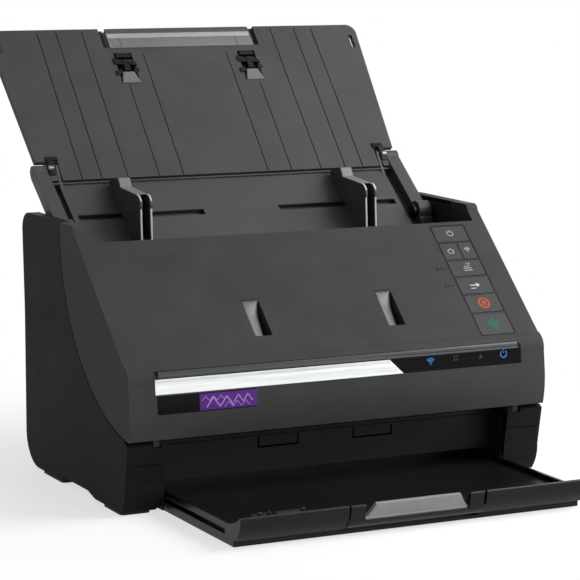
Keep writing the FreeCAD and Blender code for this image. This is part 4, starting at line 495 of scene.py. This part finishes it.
# Key legends
strip_marks = {
    "power": (power_mark(117.9, 9.9, 2.5, -1.0), INK_GREY),
    "quick_send": (
        [line(109.6, 25.3, 112.3, 23.2, 0.6), line(112.3, 23.2, 115.0, 25.3, 0.6), rect(110.3, 25.2, 111.0, 27.3),
         rect(113.6, 25.2, 114.3, 27.3), rect(110.3, 26.8, 114.3, 27.4)],
        INK_GREY,
    ),
    "wireless": (waves_mark(125.2, 26.3, 3.0, -1.0), INK_GREY),
    "feed_check": (
        [rect(116.4, 38.6, 121.2, 39.1), rect(115.6, 40.2, 121.9, 40.8), rect(115.6, 42.0, 121.9, 42.6),
         line(118.9, 35.8, 120.4, 37.6, 0.5), line(120.4, 37.6, 121.9, 35.8, 0.5)],
        INK_GREY,
    ),
    "feeder_mode": (
        [rect(114.2, 54.7, 119.4, 55.5), [(119.2, 53.2), (121.9, 55.1), (119.2, 57.0)], rect(114.2, 57.4, 117.8, 58.0),
         ],
        INK_PALE,
    ),
    "stop": (
        ring(118.4, 70.4, 3.2, 4.4, 0, 360, 24)
        + [line(116.8, 68.8, 120.0, 72.0, 1.2), line(116.8, 72.0, 120.0, 68.8, 1.2)],
        LIT_ORANGE,
    ),
    "start": (
        ring(118.2, 88.1, 3.2, 5.0, 0, 360, 4) + [[(118.2, 85.8), (120.5, 88.1), (118.2, 90.4), (115.9, 88.1)]],
        LIT_TEAL,
    ),
}
for key, (loops, ink) in strip_marks.items():
    raised("legend_" + key, loops, on_panel, -0.02, 0.04, ink, "key_" + key, 0.02)

# Small pictograms beside the strip
beside = []
for k in (38.4, 53.1):
    beside += [
        rect(94.6, k, 97.2, k + 2.6), rect(97.8, k + 0.3, 99.6, k + 2.3), rect(100.2, k + 0.9, 102.9, k + 1.9),
    ]
raised("side_marks", beside, on_panel, -0.02, 0.03, INK_DARK, "cover", 0.02)

# Indicator window
front = front_of(surface_of("indicator_window", "trim_strip", "badge_plate", "cover_shell"))
raised("window_blue", waves_mark(62.3, 80.4, 3.6) + power_mark(116.9, 83.0, 2.6), front, -0.05, 0.06, LIT_BLUE, "cover", 0.02)
faint = ring(81.0, 83.0, 1.5, 2.3, 45, 405, 4) + [[(98.0, 81.4), (101.0, 81.4), (99.5, 84.6)]]
raised("window_faint", faint, front, -0.05, 0.05, INK_FAINT, "cover", 0.02)

# Painted reflection: a paler upper half of the window, where its face leans back
sheen = [rect(-127.8 + i * 25.56, 86.2 + k * 0.95, -127.8 + (i + 1) * 25.56, 87.15 + k * 0.95) for i in range(10) for k in range(4)]
raised("window_sheen", sheen, front, -0.05, 0.02, SHEEN, "cover", 0.0)

# Generic pattern on the badge: lilac zigzags over a violet field at its right end
step_x, step_z = 3.25, 10.1 / 8
field = [
    rect(-101.0 + i * step_x, 64.6 + k * step_z, -101.0 + (i + 1) * step_x, 64.6 + (k + 1) * step_z)
    for i in range(12)
    for k in range(8)
]
raised("badge_field", field, front, -0.05, 0.05, ART_VIOLET, "cover", 0.0)
strokes = []


def zigzag(x, z, wide, high, count, width):
    """Short strokes up and down, each cut in three so that it follows the bowed front."""
    out = []
    for i in range(count):
        up = high if i % 2 == 0 else -high
        for k in range(3):
            xa, xb = x + wide * (i + k / 3), x + wide * (i + (k + 1) / 3)
            za, zb = z + up * (2 * k / 3 - 1), z + up * (2 * (k + 1) / 3 - 1)
            out.append(line(xa, za, xb, zb, width))
    return out


strokes += zigzag(-96.5, 69.2, 4.6, 3.0, 4, 0.75)
strokes += zigzag(-78.0, 70.4, 3.2, 2.2, 4, 0.6)
strokes += zigzag(-99.6, 71.6, 2.6, 1.4, 6, 0.35)
strokes += zigzag(-84.5, 67.2, 2.9, 1.6, 6, 0.35)
raised("badge_strokes", strokes, front, 0.05, 0.1, ART_LILAC, "cover", 0.02)

# Dark seam round the key strip
x0, x1 = STRIP_X
s0, s1 = STRIP_ROWS[0], STRIP_ROWS[-1]
seam = [
    rect(x0 - 0.7, s0 - 0.7, x1 + 0.7, s0 - 0.1), rect(x0 - 0.7, s1 + 0.1, x1 + 0.7, s1 + 0.7),
    rect(x0 - 0.7, s0 - 0.1, x0 - 0.1, s1 + 0.1), rect(x1 + 0.1, s0 - 0.1, x1 + 0.7, s1 + 0.1),
]
raised("strip_seam", seam, on_panel, -0.02, 0.03, INK_DARK, "cover", 0.0)

# Finger scoops: a hollow whose floor is black as painted shade, with a curved dish on its left in a paler plastic as
# painted light
for side, x in (("right", 47.8), ("left", -47.8)):
    path = [(54.4, -0.5), (58.0, -2.3), (62.5, -4.1), (68.0, -5.4), (75.5, -6.4), (82.8, -6.85)]
    ribbon("scoop_floor_shade_" + side, path, [(x - 6.15, x + 6.15)], on_panel, 0.12, BLACK_PLASTIC_AND_SHADE, "cover")
    bm = bmesh.new()
    rows = []
    for i in range(17):
        t = i / 16
        share, depth = 1.0 - 0.36 * t ** 0.6, 3.6 * min(1.0, 2.6 * t)
        row = []
        for k in range(7):
            u = k / 6
            row.append(bm.verts.new(on_panel(x - 6.15 + 12.2 * share * u, 54.5 + 28.2 * t, -0.2 - depth * u ** 1.6)))
        rows.append(row)
    for a, b in zip(rows, rows[1:]):
        for k in range(6):
            bm.faces.new([a[k], a[k + 1], b[k + 1], b[k]])
    skin = bmesh.ops.extrude_face_region(bm, geom=bm.faces[:])
    drop = on_panel(0, 0, -0.5) - on_panel(0, 0, 0)
    bmesh.ops.translate(bm, verts=[v for v in skin["geom"] if isinstance(v, bmesh.types.BMVert)], vec=drop)
    piece("scoop_dish_" + side, bm, SCOOP_LIT, "cover", True)

# Grip of the extension: a crowned stripe, paler as painted highlight, between a darker top and a lower face
h0, h1 = HANDLE_S
bar("grip_lower", crown(h0 + 0.7, h0 + 8.6, -0.1, 0.7), -HANDLE_HALF, HANDLE_HALF, on_tray, HANDLE, "extension")
bar("grip_stripe", crown(h0 + 8.8, h0 + 13.0, -0.7, 1.1), -HANDLE_HALF, HANDLE_HALF - 1.0, on_tray, HANDLE_STRIPE_LIT, "extension")
bar("grip_top", crown(h0 + 13.2, h1 - 0.3, -0.1, 0.35), -HANDLE_HALF, HANDLE_HALF, on_tray, HANDLE_DARK, "extension")
joins = [rect(x - 0.15, h0 + 1.0, x + 0.15, h0 + 8.2) for x in (-46.5, 43.0)]
raised("grip_joins", joins, on_tray, 0.4, 0.72, INK_DARK, "extension", 0.0)

# Painted highlights: pale strips along the front edges of the guides' fins
nose = [(-19.4, 6.1), (-12.6, 13.6), (-6.0, 21.0), (-4.5, 23.5), (-1.6, 26.0), (1.6, 26.3), (4.5, 25.0)]
for side, sign in (("right", 1), ("left", -1)):
    walls = [(GUIDE_X[0] + 0.1, GUIDE_X[0] + 1.3), (GUIDE_X[1] - 1.3, GUIDE_X[1] - 0.1)]
    spans = [(sign * a, sign * b) for a, b in walls]
    ribbon("fin_edge_highlights_" + side, nose, spans, on_chute, 0.26, GUIDE_EDGE_HIGHLIGHT, "guide_" + side)

# Painted light: paler sloping tops of the guides, which face up towards the lamps
for side, sign in (("right", 1), ("left", -1)):
    xs = sorted((sign * (GUIDE_X[0] + 0.3), sign * (GUIDE_X[1] - 0.3)))
    ribbon("fin_top_lit_" + side, [(4.9, 24.7), (27.0, 10.0), (33.4, 12.3)], [xs], on_chute, 0.1, GUIDE_TOP_LIT, "guide_" + side)

# Black brackets round the wide panel's pins, with the bright pin ends
for side, sign in (("right", 1), ("left", -1)):
    plate_points = [(-6.5, -1.0), (-6.5, 0.8), (-2.0, 1.3), (5.0, 1.3), (8.5, 0.4), (8.5, -1.0)]
    xs = sorted((sign * 123.2, sign * 127.5))
    bar("bracket_" + side, plate_points, xs[0], xs[1], on_tray, BLACK_PLASTIC_AND_SHADE, "upper_panel")
    foot_points = [(4.9, -1.0), (4.9, 1.3), (8.5, 0.4), (8.5, -1.0)]
    xs = sorted((sign * 119.2, sign * 123.3))
    bar("bracket_foot_" + side, foot_points, xs[0], xs[1], on_tray, BLACK_PLASTIC_AND_SHADE, "upper_panel")
    knob = [(1.7 * math.cos(a * 0.524), 1.7 * math.sin(a * 0.524)) for a in range(12)]
    xs = sorted((sign * 124.2, sign * 127.9))
    bar("pin_end_" + side, [(p[0] - 1.0, p[1] + 0.5) for p in knob], xs[0], xs[1], on_tray, PIN_END, "upper_panel")

# Hook windows: ramps in a paler copy of the tray plastic as painted light, where they face up towards the lamps, and
# claws in black as painted shade for the windows' shadows and dark notches
for side, x in (("right", 47.5), ("left", -47.5)):
    ramp = [[(x - 7.2, 67.6), (x + 7.2, 67.6), (x + 4.4, 77.4), (x - 4.4, 77.4)]]
    raised("hook_ramp_" + side, ramp, on_tray, -0.4, 0.9, RAMP_LIT, "upper_panel", 0.5)
    claws = [
        [(x - 9.4, 74.2), (x - 4.6, 75.4), (x - 4.6, 79.4), (x - 9.4, 78.6)],
        [(x + 4.8, 76.0), (x + 9.0, 78.0), (x + 9.0, 81.2), (x + 4.8, 80.2)],
        [(x - 8.6, 84.0), (x - 2.0, 83.4), (x - 2.0, 87.4), (x - 8.6, 89.6)],
        [(x + 2.4, 83.6), (x + 8.4, 82.4), (x + 8.4, 85.4), (x + 2.4, 86.8)],
        [(x - 2.2, 78.2), (x + 2.6, 78.2), (x + 2.2, 88.4), (x - 1.8, 88.4)],
        [(x - 6.2, 89.8), (x + 5.8, 89.8), (x + 5.0, 93.4), (x - 5.4, 93.4)],
    ]
    raised("hook_claws_painted_shade_" + side, claws, on_tray, -2.4, 0.7, BLACK_PLASTIC_AND_SHADE, "upper_panel", 0.3)

# Catches beside the recess in the output tray's floor, in a plastic paler than the near-black tray as painted
# highlight on their edges
def on_table(x, y, z):
    return at(x, y, z)


for i, (x0, x1) in enumerate(((-92.6, -90.4), (-86.0, -84.4), (-63.8, -61.6))):
    post = [(OUT_FRONT + 20.4, 9.4), (OUT_FRONT + 20.4, 13.6), (OUT_FRONT + 22.0, 14.2), (OUT_FRONT + 24.2, 9.4)]
    bar("tray_catch_%d" % i, post, x0, x1, on_table, CATCH_HIGHLIGHT, "output_tray")
sill = [(OUT_FRONT + 21.2, 9.4), (OUT_FRONT + 21.2, 12.0), (OUT_FRONT + 25.6, 12.4), (OUT_FRONT + 25.6, 9.4)]
for i, (x0, x1) in enumerate(((-96.0, -84.2), (-80.0, -61.4))):
    bar("tray_sill_%d" % i, sill, x0, x1, on_table, CATCH_HIGHLIGHT, "output_tray")


# Stage, light and camera
def stage_plane(name, corners, colour):
    bm = bmesh.new()
    bm.faces.new([bm.verts.new(c) for c in corners])
    mesh = bpy.data.meshes.new(name)
    bm.to_mesh(mesh)
    bm.free()
    obj = bpy.data.objects.new(name, mesh)
    bpy.context.scene.collection.objects.link(obj)
    m = Nodes(name)
    m.set(Specular_IOR_Level=0.15, Roughness=0.8)
    speck = m.noise(3.0, 2.0)
    m.link(m.ramp(speck, [(0.3, shade(colour, 0.995)), (0.7, colour)]), m.shader.inputs["Base Color"])
    mesh.materials.append(m.mat)
    return m


floor = stage_plane("floor", [(-12, -12, 0), (12, -12, 0), (12, 12, 0), (-12, 12, 0)], (0.95, 0.95, 0.95))


def show_white(m):
    """Fades the floor to white away from the object, for the camera and in reflections and glass."""
    coord = m.add("TexCoord")
    length = m.add("VectorMath", operation="LENGTH")
    m.link(coord.outputs["Object"], length.inputs[0])
    fade = m.add("MapRange", interpolation_type="SMOOTHSTEP")
    for name, value in (("From Min", 0.15), ("From Max", 0.4), ("To Min", 0.66), ("To Max", 1.0)):
        fade.inputs[name].default_value = value
    m.link(length.outputs["Value"], fade.inputs["Value"])
    path = m.add("LightPath")
    rays = m.add("Math", operation="ADD")
    m.link(path.outputs["Is Camera Ray"], rays.inputs[0])
    m.link(path.outputs["Is Glossy Ray"], rays.inputs[1])
    seen = m.add("Math", operation="ADD", use_clamp=True)
    m.link(rays.outputs[0], seen.inputs[0])
    m.link(path.outputs["Is Transmission Ray"], seen.inputs[1])
    share = m.add("Math", operation="MULTIPLY")
    m.link(fade.outputs[0], share.inputs[0])
    m.link(seen.outputs[0], share.inputs[1])
    white = m.add("Emission")
    mix = m.add("MixShader")
    m.link(share.outputs[0], mix.inputs[0])
    m.link(m.shader.outputs[0], mix.inputs[1])
    m.link(white.outputs[0], mix.inputs[2])
    m.link(mix.outputs[0], m.out.inputs[0])


show_white(floor)


def area_light(name, place, aim, size, power, colour=(1, 1, 1)):
    light = bpy.data.lights.new(name, "AREA")
    light.shape = "RECTANGLE"
    light.size, light.size_y = size
    light.energy = power
    light.color = colour
    obj = bpy.data.objects.new(name, light)
    bpy.context.scene.collection.objects.link(obj)
    obj.location = place
    obj.rotation_euler = (Vector(aim) - Vector(place)).to_track_quat("-Z", "Y").to_euler()
    obj.visible_camera = False
    return obj


area_light("key_light", (1.05, -0.45, 0.9), (0, 0, 0.12), (1.0, 0.9), 30.0)
area_light("fill_right", (2.4, -0.6, 1.0), (0, 0, 0.1), (1.2, 1.6), 6.0)
area_light("fill_left", (-2.2, -1.2, 1.2), (0, 0, 0.1), (1.2, 1.6), 0.8)
area_light("fill_front", (0.9, -2.2, 0.7), (0, 0, 0.1), (1.6, 0.8), 9.0)
area_light("back_light", (0.2, 1.8, 1.6), (0, 0, 0.15), (2.0, 1.0), 8.0)

world = bpy.data.worlds.new("studio")
bpy.context.scene.world = world
world.use_nodes = True
wt = world.node_tree
wt.nodes.clear()
w_out = wt.nodes.new("ShaderNodeOutputWorld")
w_mix = wt.nodes.new("ShaderNodeMixShader")
w_path = wt.nodes.new("ShaderNodeLightPath")
w_soft = wt.nodes.new("ShaderNodeBackground")
w_white = wt.nodes.new("ShaderNodeBackground")
w_rays = wt.nodes.new("ShaderNodeMath")
w_seen = wt.nodes.new("ShaderNodeMath")
w_seen.use_clamp = True
w_soft.inputs[0].default_value = (0.95, 0.97, 1.0, 1.0)
w_soft.inputs[1].default_value = 0.2
w_white.inputs[0].default_value = (1.0, 1.0, 1.0, 1.0)
w_white.inputs[1].default_value = 1.0
wt.links.new(w_path.outputs["Is Camera Ray"], w_rays.inputs[0])
wt.links.new(w_path.outputs["Is Glossy Ray"], w_rays.inputs[1])
wt.links.new(w_rays.outputs[0], w_seen.inputs[0])
wt.links.new(w_path.outputs["Is Transmission Ray"], w_seen.inputs[1])
wt.links.new(w_seen.outputs[0], w_mix.inputs[0])
wt.links.new(w_soft.outputs[0], w_mix.inputs[1])
wt.links.new(w_white.outputs[0], w_mix.inputs[2])
wt.links.new(w_mix.outputs[0], w_out.inputs[0])

back = Vector((
    math.sin(CAM_AZIMUTH) * math.cos(CAM_ELEVATION),
    -math.cos(CAM_AZIMUTH) * math.cos(CAM_ELEVATION),
    math.sin(CAM_ELEVATION),
))
right = Vector((math.cos(CAM_AZIMUTH), math.sin(CAM_AZIMUTH), 0.0))
up = back.cross(right)
right_r = right * math.cos(CAM_ROLL) + up * math.sin(CAM_ROLL)
up_r = up * math.cos(CAM_ROLL) - right * math.sin(CAM_ROLL)
camera_data = bpy.data.cameras.new("camera")
camera_data.lens = CAM_LENS
camera_data.sensor_width = 36.0
camera_data.shift_x, camera_data.shift_y = CAM_SHIFT
camera_data.clip_end = 50.0
camera = bpy.data.objects.new("camera", camera_data)
bpy.context.scene.collection.objects.link(camera)
place = at(*CAM_TARGET) + back * CAM_DISTANCE * MM
camera.matrix_world = Matrix((
    (right_r.x, up_r.x, back.x, place.x),
    (right_r.y, up_r.y, back.y, place.y),
    (right_r.z, up_r.z, back.z, place.z),
    (0, 0, 0, 1),
))
bpy.context.scene.camera = camera
bpy.context.scene.view_settings.view_transform = "Standard"
